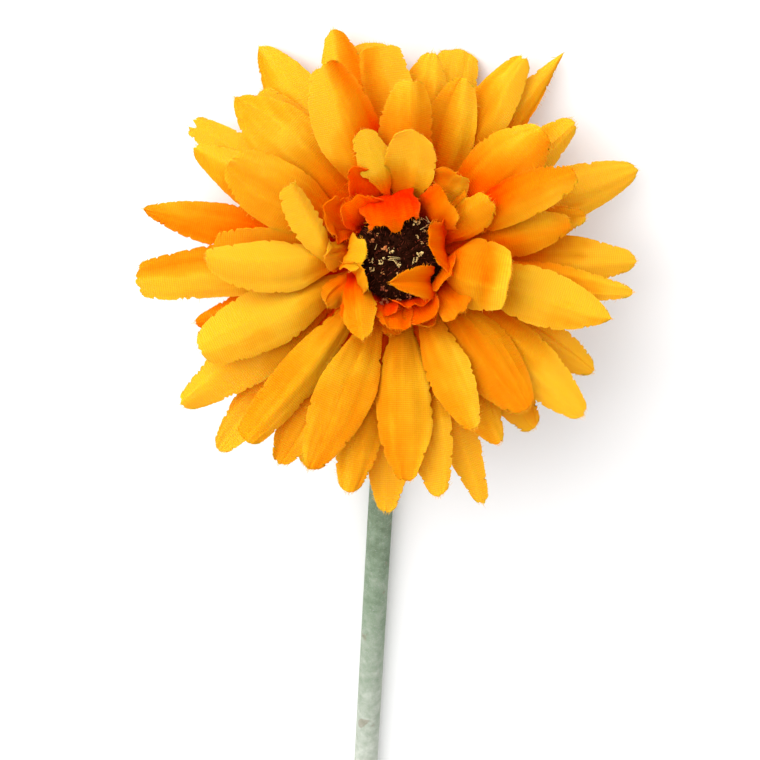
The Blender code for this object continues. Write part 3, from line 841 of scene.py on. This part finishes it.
class Value:
    """A number that flows through a material's nodes. Arithmetic on it adds Math nodes."""

    def __init__(self, finish, socket):
        self.finish = finish
        self.socket = socket

    def math(self, operation, *others, clamp=False):
        settings = {"operation": operation, "use_clamp": clamp}
        return self.finish.add("ShaderNodeMath", settings, dict(enumerate((self, *others)))).value()

    def __add__(self, other):
        return self.math("ADD", other)

    __radd__ = __add__

    def __sub__(self, other):
        return self.math("SUBTRACT", other)

    def __rsub__(self, other):
        return self * -1.0 + other

    def __mul__(self, other):
        return self.math("MULTIPLY", other)

    def sine(self):
        return self.math("SINE")

    def clamped(self):
        return self.math("ADD", 0.0, clamp=True)

    def between(self, low, high):
        """0 below low, 1 above high, and smooth between."""
        soft = {"interpolation_type": "SMOOTHSTEP"}
        sockets = {"Value": self, "From Min": low, "From Max": high}
        return self.finish.add("ShaderNodeMapRange", soft, sockets).value()


class Node:
    """One node of a material."""

    def __init__(self, finish, node):
        self.finish = finish
        self.node = node

    def value(self, output=0):
        return Value(self.finish, self.node.outputs[output])


class Finish:
    """A material under construction, with its Principled shader."""

    def __init__(self, name, roughness, **uniform):
        self.material = bpy.data.materials.new(name)
        self.material.use_nodes = True
        self.nodes = self.material.node_tree.nodes
        self.links = self.material.node_tree.links
        self.shader = self.nodes["Principled BSDF"]
        self.shader.inputs["Roughness"].default_value = roughness
        for socket, value in uniform.items():
            self.shader.inputs[socket.replace("_", " ")].default_value = value

    def feed(self, socket, value):
        if isinstance(value, Value):
            self.links.new(value.socket, socket)
        else:
            socket.default_value = value

    def add(self, kind, settings=None, sockets=None):
        """One node of this kind: its settings first, a ramp's stops among them, then its sockets."""
        node = self.nodes.new(kind)
        settings = dict(settings or {})
        for place, (position, colour) in enumerate(settings.pop("stops", ())):
            elements = node.color_ramp.elements
            stop = elements[place] if place < 2 else elements.new(position)
            stop.position = position
            stop.color = (*colour, 1.0)
        for key, value in settings.items():
            setattr(node, key, value)
        for key, value in (sockets or {}).items():
            self.feed(node.inputs[key], value)
        return Node(self, node)

    def attribute(self, name):
        return self.add("ShaderNodeAttribute", {"attribute_name": name}).value("Fac")

    def cloth_place(self):
        """(across, along) in the flat cloth, in millimetres."""
        uv = self.add("ShaderNodeUVMap", {"uv_map": "UVMap"}).value("UV")
        parts = self.add("ShaderNodeSeparateXYZ", sockets={0: uv})
        return parts.value("X"), parts.value("Y")

    def place(self):
        """The place in the table's frame, in metres."""
        return self.add("ShaderNodeTexCoord").value("Object")

    def noise(self, scale, detail=2.0, roughness=0.5, vector=None):
        """Cloudy noise, in the table's frame where no other vector is given."""
        vector = vector or self.place()
        sockets = {"Vector": vector, "Scale": scale, "Detail": detail, "Roughness": roughness}
        return self.add("ShaderNodeTexNoise", sockets=sockets).value("Fac")

    def ramp(self, position, *stops):
        return self.add("ShaderNodeValToRGB", {"stops": stops}, {"Fac": position}).value("Color")

    def mixed(self, share, first, second, blend="MIX"):
        sockets = {"Factor": share, 6: first, 7: second}
        return self.add("ShaderNodeMix", {"data_type": "RGBA", "blend_type": blend}, sockets).value(2)

    def colour(self, value):
        self.feed(self.shader.inputs["Base Color"], value)

    def rough(self, value):
        self.feed(self.shader.inputs["Roughness"], value)

    def bumped(self, height, distance):
        sockets = {"Height": height, "Distance": distance, "Strength": 1.0}
        bump = self.add("ShaderNodeBump", sockets=sockets).value("Normal")
        self.feed(self.shader.inputs["Normal"], bump)

    def on(self, piece):
        piece.data.materials.clear()
        piece.data.materials.append(self.material)
        return piece


def dyed_cloth(name):
    """Woven polyester, dyed from red-orange at the petals' roots to golden yellow at their tips. The dye
    value that it reads carries painted shade as well, and its paler hems are partly painted highlight.
    """
    cloth = Finish(name, 0.72, Subsurface_Weight=0.5, Subsurface_Scale=0.0015, Specular_IOR_Level=0.0)
    cloth.shader.inputs["Subsurface Radius"].default_value = (1.0, 0.25, 0.02)
    across, along = cloth.cloth_place()
    place = cloth.add("ShaderNodeCombineXYZ", sockets={0: across * 0.5, 1: along * 0.07}).value()
    streaks = cloth.noise(1.6, 3.0, vector=place)
    patches = cloth.noise(160.0)
    # The dye value carries painted shade as well as the dye.
    dye = cloth.attribute("dye") + (streaks - 0.5) * 0.2 + (patches - 0.5) * 0.25
    # The darkest stop, at 0, is painted shade for deep hollows; the frills' roots and the deepest set petals
    # reach down towards it.
    colour = cloth.ramp(
        dye.clamped(),
        (0.0, (0.3, 0.005, 0.0)), (1.0, (0.79, 0.43, 0.02)), (0.1, (0.66, 0.017, 0.0)),
        (0.22, (0.78, 0.056, 0.0)), (0.42, (0.71, 0.132, 0.0)), (0.7, (0.65, 0.24, 0.004)),
        (0.9, (0.73, 0.35, 0.01)),
    )
    ribs = (along * (2 * math.pi / RIB)).sine() * 0.5 + 0.5
    threads = (across * (2 * math.pi / (RIB * 0.8))).sine() * 0.5 + 0.5
    weave = ribs * 0.7 + threads * 0.3
    colour = cloth.mixed((1.0 - weave) * 0.3, colour, (0.8, 0.2, 0.0, 1.0), "MULTIPLY")
    # Painted highlight: the hems are mixed towards pale yellow, partly as worn fibre and partly as a painted
    # highlight along the rims.
    cloth.colour(cloth.mixed(cloth.attribute("hem") * 0.12, colour, (0.95, 0.5, 0.05, 1.0)))
    cloth.rough(0.74 - weave * 0.1)
    wrinkles = cloth.noise(420.0, 3.0)
    cloth.bumped(weave * 0.6 + wrinkles, 0.00009)
    return cloth


def loose_thread():
    """Single bleached filaments, paler than the cloth that they come from."""
    thread = Finish("loose_thread", 0.8, Specular_IOR_Level=0.05)
    thread.colour(thread.ramp(
        thread.attribute("tone"),
        (0.0, (0.8, 0.09, 0.0)), (1.0, (0.86, 0.48, 0.05)), (0.6, (0.82, 0.3, 0.008)),
    ))
    return thread


def dark_flock():
    flock = Finish("dark_flock", 0.95, Specular_IOR_Level=0.0)
    shade = flock.attribute("tone") * 0.75 + flock.noise(900.0) * 0.3
    flock.colour(flock.ramp(
        shade, (0.0, (0.008, 0.002, 0.001)), (1.0, (0.34, 0.06, 0.03)), (0.5, (0.035, 0.009, 0.004)),
    ))
    flock.bumped(flock.noise(2600.0), 0.0001)
    return flock


def pale_crumbs():
    """Foam crumbs and clipped filaments, cream to rust."""
    crumb = Finish("pale_crumb", 0.85, Specular_IOR_Level=0.2)
    shade = crumb.attribute("tone") + (crumb.noise(1500.0) - 0.5) * 0.5
    crumb.colour(crumb.ramp(
        shade.clamped(), (0.0, (0.2, 0.025, 0.015)), (1.0, (0.78, 0.58, 0.22)), (0.4, (0.5, 0.16, 0.04)),
    ))
    crumb.bumped(crumb.noise(3000.0), 0.0002)
    return crumb


def coated_stem():
    """Moulded green plastic under a powdery, mottled coat that is paler away from the bloom."""
    coat = Finish("coated_plastic", 0.8, Specular_IOR_Level=0.25)
    parts = coat.add("ShaderNodeSeparateXYZ", sockets={0: coat.place()})
    paler = 1.0 - parts.value("Y").between(-0.05, 0.03)
    cloudy = coat.noise(180.0, 4.0, 0.6)
    mottle = coat.noise(620.0, 3.0, 0.65)
    shade = paler * 0.62 + (cloudy - 0.5) * 0.75 + (mottle - 0.5) * 0.7 + 0.18
    colour = coat.ramp(
        shade.clamped(),
        (0.0, (0.12, 0.17, 0.1)), (1.0, (0.56, 0.59, 0.52)), (0.3, (0.22, 0.29, 0.2)),
        (0.6, (0.34, 0.39, 0.31)),
    )
    spots = coat.noise(260.0).between(0.66, 0.74)
    colour = coat.mixed(spots * 0.5, colour, (0.22, 0.16, 0.11, 1.0))
    powder = coat.noise(2400.0).between(0.58, 0.7)
    coat.colour(coat.mixed(powder * 0.35, colour, (0.48, 0.5, 0.46, 1.0)))
    coat.rough(0.68 + mottle * 0.2)
    coat.bumped(mottle * 0.6 + powder * 0.4, 0.00012)
    return coat


def green_plastic():
    """Soft moulded plastic with a leaf-like, slightly uneven colour."""
    plastic = Finish("green_plastic", 0.5, Specular_IOR_Level=0.4, Subsurface_Weight=0.1,
                     Subsurface_Scale=0.001)
    cloudy = plastic.noise(240.0, 3.0)
    fine = plastic.noise(1400.0)
    plastic.colour(plastic.ramp(cloudy, (0.3, (0.05, 0.13, 0.02)), (0.75, (0.13, 0.25, 0.05))))
    plastic.rough(0.42 + cloudy * 0.25)
    plastic.bumped(fine, 0.00006)
    return plastic


def steel():
    """Drawn soft wire, dull and faintly scratched."""
    wire = Finish("steel_wire", 0.4, Metallic=1.0)
    drawn_out = wire.add("ShaderNodeMapping", sockets={"Vector": wire.place(), "Scale": (1.0, 0.05, 1.0)})
    scratched = wire.noise(6000.0, vector=drawn_out.value())
    wire.colour(wire.ramp(scratched, (0.3, (0.32, 0.31, 0.3)), (0.75, (0.55, 0.54, 0.52))))
    wire.rough(0.3 + scratched * 0.25)
    return wire


# Bloom.

# The orange round the long petals' roots, as (right, up, where it starts to fade, over how far); its middle
# lies above the heart's, so that it reaches further out on the upper petals. On the layers at the back it
# reaches further out still, as painted shade where the front layers lie over them. And how much paler the
# layers at the back get along their petals.
FRONT_SPOT = (1.5, 6.0, 9.5, 24.0)
BACK_SPOT_AND_SHADE = (1.0, 2.0, 14.5, 32.0)
BACK_LAYERS = {"petal_layer_1": 0.2, "petal_layer_2": 0.12}
PETAL_DYE, PETAL_FADE, PETAL_TINT = 0.2, 0.7, 2.0
FRILL_ROOT_DYE_AND_SHADE, FRILL_FADE, FRILL_TINT = 0.08, 0.4, 1.6
# Painted shade in creases and dents: how much deeper in colour each millimetre of their depth makes the
# cloth, and how soon past the root it comes in.
CREASE_SHADE, CREASE_SHADE_START = 0.12, 3.0
SIDE_STEP = 2.5


def dye_of(layer, marks, points, along, across):
    """How far the dye has run out: 0 is the deep colour at the roots and 1 the pale tips. Painted shade is
    laid into the same number, in creases and dents, under the front layers, at the frills' roots and on one
    side of some petals.
    """
    if layer.teeth:
        # Painted shade: the frills' roots start near the ramp's dark end, partly as their deep red dye and
        # partly as shade in the hollow round the heart.
        tint = marks.dye * np.clip(along * FRILL_TINT, 0.0, 1.0)
        # The side term is partly dye and partly painted light and shade on the petal's two sides.
        return FRILL_ROOT_DYE_AND_SHADE + FRILL_FADE * along + tint + marks.side_dye * across * along
    # The layers at the back are set deeper further out, as painted shade where the front layers lie over
    # them.
    right, up, start, run = BACK_SPOT_AND_SHADE if layer.name in BACK_LAYERS else FRONT_SPOT
    away = np.hypot(points[..., 0] - right, points[..., 1] - up)
    paler = PETAL_DYE + PETAL_FADE * eased((away - start) / run) + BACK_LAYERS.get(layer.name, 0.0) * along
    # One side of a petal is set paler and the other deeper, partly as dye and partly as painted light and
    # shade on a fold.
    tint = marks.dye + marks.side_dye * np.tanh(SIDE_STEP * across)
    tint *= np.clip(along * PETAL_TINT, 0.0, 1.0)
    # Painted shade: creases and dents are set deeper in colour by their depth.
    shade = CREASE_SHADE * creases(marks, along, across) * np.clip(along * CREASE_SHADE_START, 0.0, 1.0)
    return paler + tint + shade


def cloth_layer(layer, petals, order, threads):
    """One cloth disc in a single mesh: the hub ring and all its petals, cut, creased and thickened.

    Each petal has a draw of its own, so that a change of one leaves the others as they are. The petals' loose
    threads are added to the threads.
    """
    pitch = 2 * math.pi / len(petals)
    sheets = []
    for number, petal in enumerate(petals):
        draw = random.Random(CUT_SEED + PETAL_SEEDS * order + petal.clock)
        marks = drawn_marks(layer, petal, number % 2 == 1, draw)
        if layer.teeth:
            petal = tousled(petal, draw)
        petal = as_seen(petal, layer, petal.clock)
        points, cloth, along, across = cut_cloth(petal, marks, draw)
        inner, inner_cloth = hub_rows(petal, pitch, layer.hub, even_columns(petal))
        dye = dye_of(layer, marks, points, along, across)
        threads += frayed(points, along, dye, draw)
        dye = np.vstack([np.zeros(inner.shape[:2]), dye])
        # Pale rims along the sides towards the tip: partly worn fibre, partly painted highlight.
        hem = np.vstack([np.zeros(inner.shape[:2]), np.clip(np.abs(across) * 6.0 - 5.0, 0.0, 1.0) * along**2])
        points = np.vstack([inner, points])
        sheets.append(sheet(placed(points, BLOOM), np.vstack([inner_cloth, cloth]), dye=dye, hem=hem))
    made = joined(sheets, layer.name + "_cloth")
    welded(made, WELD * MM)
    finished(made, "SOLIDIFY", thickness=CLOTH * MM, offset=0.0, use_even_offset=False)
    smoothed(made, CLOTH_SMOOTH)
    return made


def frayed(points, along, dye, draw):
    """(place, dye and painted shade) of the loose threads along a petal's cut edges: combs of cut weft, in
    stretches.
    """
    found = []
    rows = len(points)
    for edge, inner in ((0, 1), (-1, -2)):
        count, phase = draw.uniform(*FRAYED_PARTS), draw.uniform(0, 1)
        gone = 0.0
        for i in range(4, rows):
            gone += float(np.linalg.norm(points[i, edge] - points[i - 1, edge]))
            share = float(along[i, edge])
            loose = FRAY + FRAY_SWAY * math.sin(2 * math.pi * (count * share + phase))
            if gone < THREAD_STEP or draw.random() > loose * (ROOT_FRAY + (1.0 - ROOT_FRAY) * share):
                continue
            gone = 0.0
            outward = points[i, edge] - points[i, inner]
            found.append((loose_end(points[i, edge], outward, draw, 0.5 + 0.5 * loose), dye[i, edge]))
    for j in [column for column in range(points.shape[1]) for _ in range(2)]:
        if draw.random() < TIP_THREADS:
            outward = points[-1, j] - points[-3, j]
            found.append((loose_end(points[-1, j], outward, draw, TIP_THREAD), dye[-1, j]))
    return found


def loose_end(origin, outward, draw, longest):
    """One thread's place, pointing roughly outward."""
    ahead = outward / (np.linalg.norm(outward) + 1e-9)
    ahead = ahead + np.array(shaken(draw, 0.25))
    length = draw.uniform(0.15, longest) * (1.8 if draw.random() < 0.05 else 1.0)
    root = origin - THREAD_SINK * ahead
    return place_of(root, frame_along(ahead, draw), THREAD_RADIUS, length + THREAD_SINK)


def fibre_pattern(sides, tip):
    """A tapering fibre of unit length and radius, and a tip of this radius."""
    cone = bpy.ops.mesh.primitive_cone_add
    return primitive(cone, vertices=sides, radius1=1.0, radius2=tip, depth=1.0, location=(0, 0, 0.5))


def thread_pattern():
    """A thin thread in two lengths, bent over."""
    made = fibre_pattern(3, 0.35)
    with editing(made) as mesh:
        for edge in mesh.edges:
            edge.select = abs(edge.verts[0].co.z - edge.verts[1].co.z) > 0.5
        bpy.ops.mesh.subdivide(number_cuts=1)
    all_over(made, bpy.ops.mesh.quads_convert_to_tris)
    points = points_of(made)
    points[:, 0] += THREAD_BEND * points[:, 2] ** 2
    move_points(made, points)
    return made


def loose_threads(places, draw):
    tones = [min(max(dye * 0.8 + draw.uniform(-0.1, 0.3), 0.0), 1.0) for _, dye in places]
    return scattered("loose_threads", thread_pattern(), [place for place, _ in places], tones)


def heart_height(x, y):
    """The heart's dome above a place, in millimetres in the bloom's frame."""
    dome = [point for point in HEART_OUTSIDE if point[1] >= DOME_START]
    away = np.hypot(x, y)
    return np.interp(away, [radius for radius, _ in dome][::-1], [height for _, height in dome][::-1])


def heart_dome():
    """The flocked core: a turned bun, closed at the foot and top, and roughened above its foot."""
    dome = turned("heart_flock", HEART_OUTSIDE, TURNED_SIDES)
    closed(dome, TURNED_SIDES)
    all_over(dome, bpy.ops.mesh.subdivide, number_cuts=1)
    points = points_of(dome) / MM
    lumps = 0.4 * np.sin(points[:, 0] * 2.3 + 1.7) * np.sin(points[:, 1] * 2.9 + 0.4)
    lumps += 0.12 * np.sin(points[:, 0] * 6.1 + points[:, 1] * 4.7)
    points[:, 2] += lumps * (points[:, 2] > LUMPS_START)
    move_points(dome, placed(points, BLOOM))
    record(dome, "tone", np.full(len(points), DOME_TONE))
    smoothed(dome, HEART_SMOOTH)
    return dome


def needle_pattern():
    """A short, straight fibre of the flock."""
    made = fibre_pattern(4, 0.3)
    all_over(made, bpy.ops.mesh.quads_convert_to_tris)
    return made


def flock_needles(draw):
    """Fibres that stand out of the heart all over, set out as seeds are on a disc."""
    places, tones = [], []
    for number in range(NEEDLES):
        radius = HEART_REACH * math.sqrt((number + 0.5) / NEEDLES)
        angle = math.radians(number * GOLDEN_ANGLE)
        x, y = radius * math.sin(angle), radius * math.cos(angle)
        outward = Vector((x * 0.09, y * 0.09, 1.0 - 0.06 * radius))
        outward += Vector(shaken(draw, 0.5))
        origin = np.array([x, y, heart_height(x, y) - NEEDLE_SINK])
        length = draw.uniform(0.7, 1.5)
        places.append(place_of(origin, frame_along(outward, draw), NEEDLE_RADIUS, length))
        tones.append(draw.random() ** 3)
    return scattered("heart_needles", needle_pattern(), places, tones)


# Crumbs on the heart as (pixel across, pixel down, size in mm, tone from rust to cream).
CRUMBS = (
    (417, 224, 1.5, 0.8), (421, 219, 0.9, 0.7), (417, 237, 0.7, 0.9), (430, 239, 0.8, 0.7),
    (431, 246, 0.8, 0.55), (386, 247, 1.8, 0.42), (391, 251, 1.2, 0.9), (398, 265, 1.1, 0.9),
    (381, 261, 1.4, 0.9), (371, 261, 1.0, 0.85), (418, 256, 1.5, 1.0), (415, 261, 0.8, 0.95),
    (372, 270, 1.0, 0.8), (383, 273, 0.8, 0.5), (372, 240, 1.3, 0.35), (378, 235, 0.7, 0.5),
    (370, 232, 0.9, 0.15), (397, 274, 0.5, 0.7), (384, 288, 1.3, 0.12), (385, 301, 1.6, 0.15),
    (398, 297, 1.2, 0.4), (409, 295, 1.3, 0.2), (424, 231, 0.6, 0.6), (427, 226, 0.5, 0.8),
    (422, 243, 0.5, 0.6),
)
# Clipped filaments on the heart as (pixel across, pixel down, length in mm, clock angle).
FILAMENTS = (
    (388, 257, 2.6, 95), (389, 259, 2.4, 92), (388, 260, 2.0, 100), (393, 260, 1.9, 140),
    (414, 258, 1.6, 195), (426, 216, 2.2, 150), (423, 218, 2.0, 120), (428, 221, 1.7, 170),
    (420, 230, 1.4, 60), (375, 250, 1.3, 20),
)


def on_heart(pixel_x, pixel_y):
    """The place on the heart's dome that shows at this pixel."""
    x = (pixel_x - BLOOM_PIXEL[0]) * PIXEL
    y = (BLOOM_PIXEL[1] - pixel_y) * PIXEL
    return np.array([x, y, heart_height(x, y) + CRUMB_RISE])


def crumb_pattern():
    """A ragged crumb of unit size."""
    made = primitive(bpy.ops.mesh.primitive_ico_sphere_add, subdivisions=2, radius=0.5)
    points = points_of(made)
    swell = 1.0 + 0.45 * np.sin(points[:, :1] * 17 + 1.0) * np.sin(points[:, 1:2] * 13 + 2.0)
    swell += 0.35 * np.sin(points[:, 2:] * 19 + points[:, :1] * 11)
    move_points(made, points * swell * (1.0, 0.8, 0.6))
    return made


def heart_crumbs(draw):
    """Foam crumbs and clipped pale filaments that lie on the flock."""
    places, tones = [], []
    for pixel_x, pixel_y, size, tone in CRUMBS:
        for _ in range(CRUMB_PARTS):
            lean = shaken(draw, 1)
            part = size * draw.uniform(0.18, 0.5)
            spot = on_heart(pixel_x, pixel_y) + size * 0.5 * np.array(shaken(draw, 1))
            places.append(place_of(spot, frame_along(lean, draw), part, part))
            tones.append(min(max(tone + draw.uniform(-0.12, 0.12), 0.0), 1.0))
    crumbs = scattered("heart_crumbs", crumb_pattern(), places, tones)
    places = []
    for pixel_x, pixel_y, length, clock in FILAMENTS:
        angle = math.radians(clock)
        ahead = (math.sin(angle), math.cos(angle), draw.uniform(0.0, 0.25))
        spot = on_heart(pixel_x, pixel_y) + np.array([0, 0, FILAMENT_RISE])
        places.append(place_of(spot, frame_along(ahead, draw), FILAMENT_RADIUS, length))
    filaments = scattered("filaments", needle_pattern(), places, [FILAMENT_TONE] * len(places))
    made = joined([crumbs, filaments], "heart_crumbs")
    smoothed(made, HEART_SMOOTH)
    return made


# Rings of sepals as (count, first clock angle, root's radius and height, length, width, lift).
SEPAL_RINGS = ((13, 0.0, 8.2, -3.2, 9.6, 4.6, -14.0), (10, 9.0, 5.4, -8.6, 8.6, 4.4, 12.0))
SEPAL_TIP, SEPAL_COLUMNS = (0.06, 0.5), 11
SEPAL_THICK, SEPAL_EDGE = 0.6, 0.12
VEIN_HEIGHT, VEIN_SPREAD = 0.16, 0.12


def sepal(clock, root_radius, level, length, width, lift):
    """One pointed blade of the calyx with a raised middle vein."""
    seat = math.radians(clock)
    root = (root_radius * math.sin(seat), root_radius * math.cos(seat), level)
    blade = Petal(
        clock=clock, seat=seat, root=root, heading=clock, length=length, width=width, foot=width / 2,
        lift=lift, curl=14.0, camber=0.5, keel=0.0, twist=0.0, teeth=0.0, tip=SEPAL_TIP,
    )
    along, across = np.meshgrid(even_rows(blade), np.linspace(-1, 1, SEPAL_COLUMNS), indexing="ij")
    side = across * half_width(blade, along, SEPAL_TIP)
    vein = VEIN_HEIGHT * np.exp(-((across / VEIN_SPREAD) ** 2)) * (1.0 - along)
    points = surface(blade, along, side, vein)
    return sheet(placed(points, BLOOM), np.stack([side, along * length], axis=-1))


def calyx():
    """The moulded cup that the cloth layers rest on, with two rings of sepals."""
    cup = turned("calyx_cup", CALYX_OUTSIDE, TURNED_SIDES)
    move_points(cup, placed(points_of(cup) / MM, BLOOM))
    facing_out(cup)
    blades = []
    for count, first, radius, level, length, width, lift in SEPAL_RINGS:
        for number in range(count):
            blades.append(sepal(first + 360.0 / count * number, radius, level, length, width, lift))
    leaves = joined(blades, "sepals")
    finished(leaves, "SOLIDIFY", thickness=SEPAL_THICK * MM, offset=0.0, use_even_offset=False)
    finished(leaves, "BEVEL", width=SEPAL_EDGE * MM, segments=1, limit_method="ANGLE")
    made = joined([cup, leaves], "calyx_moulding")
    smoothed(made, CALYX_SMOOTH)
    return made


# Stem.


def face_axis(height):
    """A point on the bloom's axis, in the table's frame, in millimetres."""
    return np.array(BLOOM @ Vector((0, 0, height)))


def stem_path(bend_count, straight_count):
    """The stem's middle line as (run, point), from its bend's start to the cut end: round, then straight."""
    start = face_axis(BEND_START)
    turn = math.radians(90.0 - FACE_TILT)
    flat = math.cos(math.pi / STEM_SOLID_SIDES)
    foot = STEM_RADIUS_TOP * flat
    radius = (start[2] - foot) / (1.0 - math.cos(turn))
    bent = radius * turn
    path = []
    for run in [*np.linspace(0, bent, bend_count), *np.linspace(bent, STEM_RUN, straight_count + 1)[1:]]:
        angle = turn * max(1.0 - run / bent, 0.0)
        distance = radius * (math.sin(turn) - math.sin(angle)) + max(run - bent, 0.0)
        thick = stem_radius(run) * flat if run > bent else foot
        height = radius * (1.0 - math.cos(angle)) + thick
        slanted = distance - STEM_SLANT_START * (1.0 - math.exp(-distance / STEM_SLANT_START))
        bow = STEM_BOW * (1.0 - math.cos(math.pi * distance / STEM_RUN)) / 2
        x = start[0] - slanted * math.tan(math.radians(STEM_SLANT)) + bow
        path.append((run, np.array([x, start[1] - distance, height])))
    return path


def stem_radius(run):
    return STEM_RADIUS_TOP + (STEM_RADIUS_END - STEM_RADIUS_TOP) * run / STEM_RUN


def tube_rings(stations, sides):
    """Rings of points round a line, given as (point, radius)."""
    centres = np.array([point for point, _ in stations])
    ahead = np.gradient(centres, axis=0)
    ahead /= np.linalg.norm(ahead, axis=1, keepdims=True)
    across = np.array([1.0, 0.0, 0.0]) - ahead * ahead[:, :1]
    across /= np.linalg.norm(across, axis=1, keepdims=True)
    up = np.cross(ahead, across)
    angle = np.linspace(0, 2 * math.pi, sides + 1)
    reach = np.array([radius for _, radius in stations])[:, None, None]
    spokes = across[:, None] * np.sin(angle)[None, :, None] + up[:, None] * np.cos(angle)[None, :, None]
    return centres[:, None] + reach * spokes


def stem():
    """The round coated stem with its pin, its cut end and the bore that the wire lies in."""
    flat = math.cos(math.pi / STEM_SOLID_SIDES)
    path = stem_path(BEND_RINGS, RUN_RINGS)
    outside = [
        (face_axis(PIN_TOP), PIN_RADIUS * 0.8), (face_axis(PIN_TOP - 0.4), PIN_RADIUS * flat),
        (face_axis(SHOULDER + 0.05), PIN_RADIUS * flat), (face_axis(SHOULDER), STEM_RADIUS_TOP * flat * 0.97),
        (face_axis(SHOULDER - 0.2), STEM_RADIUS_TOP * flat),
    ]
    outside += [(point, stem_radius(run) * flat) for run, point in path]
    end, before = path[-1][1], path[-2][1]
    onward = (end - before) / np.linalg.norm(end - before)
    outside[-1] = (end - onward * END_CHAMFER, outside[-1][1])
    outside.append((end, outside[-1][1] - END_CHAMFER))
    bore = [(end, BORE_RADIUS + BORE_FLARE)] + [(point, BORE_RADIUS) for _, point in path[-2::-1]]
    bore.append((face_axis(BORE_TOP), BORE_RADIUS))
    outer = tube_rings(outside, STEM_SIDES)
    inner = tube_rings(bore[::-1], STEM_SIDES)[::-1]
    points = np.vstack([outer, inner])
    rows, columns = points.shape[:2]
    turn = np.linspace(0, 1, columns)[None, :].repeat(rows, 0)
    run = np.linspace(0, 1, rows)[:, None].repeat(columns, 1)
    made = named(sheet(points * MM, np.stack([turn, run], axis=-1)), "stem_coated")
    welded(made, FINE_WELD * MM)
    closed(made, STEM_SIDES)
    smoothed(made, STEM_SMOOTH)
    return made


# Stage.

FLOOR_SIZE, FLOOR_LEVEL = 6.0, -0.0004
FLOOR_COLOUR = (0.96, 0.96, 0.96, 1.0)
AIR_STRENGTH = 0.8
LIGHT_PLACE = Vector((-0.55, 1.0, 0.85))
LIGHT_SIZE, LIGHT_POWER = 1.5, 25.0


def studio():
    """A plain pale floor under soft light from above and beyond the bloom's upper edge."""
    plane = bpy.ops.mesh.primitive_plane_add
    floor = named(primitive(plane, size=FLOOR_SIZE, location=(0, 0, FLOOR_LEVEL)), "floor")
    pale = Finish("pale_floor", 0.9, Specular_IOR_Level=0.1)
    pale.colour(FLOOR_COLOUR)
    pale.on(floor)
    world = bpy.data.worlds.new("studio_air")
    bpy.context.scene.world = world
    world.use_nodes = True
    air = world.node_tree.nodes["Background"]
    air.inputs["Color"].default_value = (1.0, 1.0, 1.0, 1.0)
    air.inputs["Strength"].default_value = AIR_STRENGTH
    light = bpy.data.lights.new("key_light", "AREA")
    light.shape = "DISK"
    light.size = LIGHT_SIZE
    light.energy = LIGHT_POWER
    lamp = linked("key_light", light)
    lamp.location = LIGHT_PLACE
    lamp.rotation_euler = (BLOOM_PLACE * MM - LIGHT_PLACE).to_track_quat("-Z", "Y").to_euler()
    bpy.context.scene.view_settings.view_transform = "Standard"
    bpy.context.scene.view_settings.look = "None"


def photo_camera():
    """The photograph's view: square on to the bloom's face, its upper edge up."""
    turn = Matrix.Rotation(-math.radians(FACE_TILT), 4, "X")
    middle = PICTURE / 2
    off = Vector(((middle - BLOOM_PIXEL[0]) * PIXEL, (BLOOM_PIXEL[1] - middle) * PIXEL, FACE_HEIGHT))
    aim = BLOOM_PLACE + turn @ off
    lens = bpy.data.cameras.new("photo_camera")
    lens.sensor_width = 36.0
    lens.lens = lens.sensor_width * CAMERA_AWAY / (PICTURE * PIXEL)
    lens.clip_start, lens.clip_end = 0.01, 10.0
    camera = linked("photo_camera", lens)
    camera.matrix_world = Matrix.Translation((aim + turn @ Vector((0, 0, CAMERA_AWAY))) * MM) @ turn
    bpy.context.scene.camera = camera


def keep(piece, finish, slot, *nodes):
    """Puts a finished piece on the part in place of these nodes."""
    finish.on(piece)
    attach(piece, "root")
    if nodes:
        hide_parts(*nodes)


def main():
    golden, orange = dyed_cloth("golden_cloth"), dyed_cloth("orange_cloth")
    draw, cut = random.Random(SEED), random.Random(CUT_SEED)
    threads = []
    for order, layer in enumerate(LAYERS):
        petals = drawn_petals(layer, FIRST_LEVEL + order * LAYER_PITCH, draw)
        if not layer.teeth:
            solid = solid_tree(layer.name)
            petals = [laid_down(petal, solid) for petal in petals]
        finish, slot = (orange, "orange_cloth") if layer.teeth else (golden, "golden_cloth")
        keep(cloth_layer(layer, petals, order, threads), finish, slot, layer.name)
    keep(loose_threads(threads, cut), loose_thread(), "golden_cloth")
    flock = dark_flock()
    keep(joined([heart_dome(), flock_needles(cut)], "heart_flock"), flock, "dark_flock", "heart")
    keep(heart_crumbs(cut), pale_crumbs(), "dark_flock")
    keep(calyx(), green_plastic(), "green_plastic", "calyx")
    keep(stem(), coated_stem(), "coated_plastic", "stem")
    steel().on(frame["nodes"]["stem_wire"])
    studio()
    photo_camera()


main()
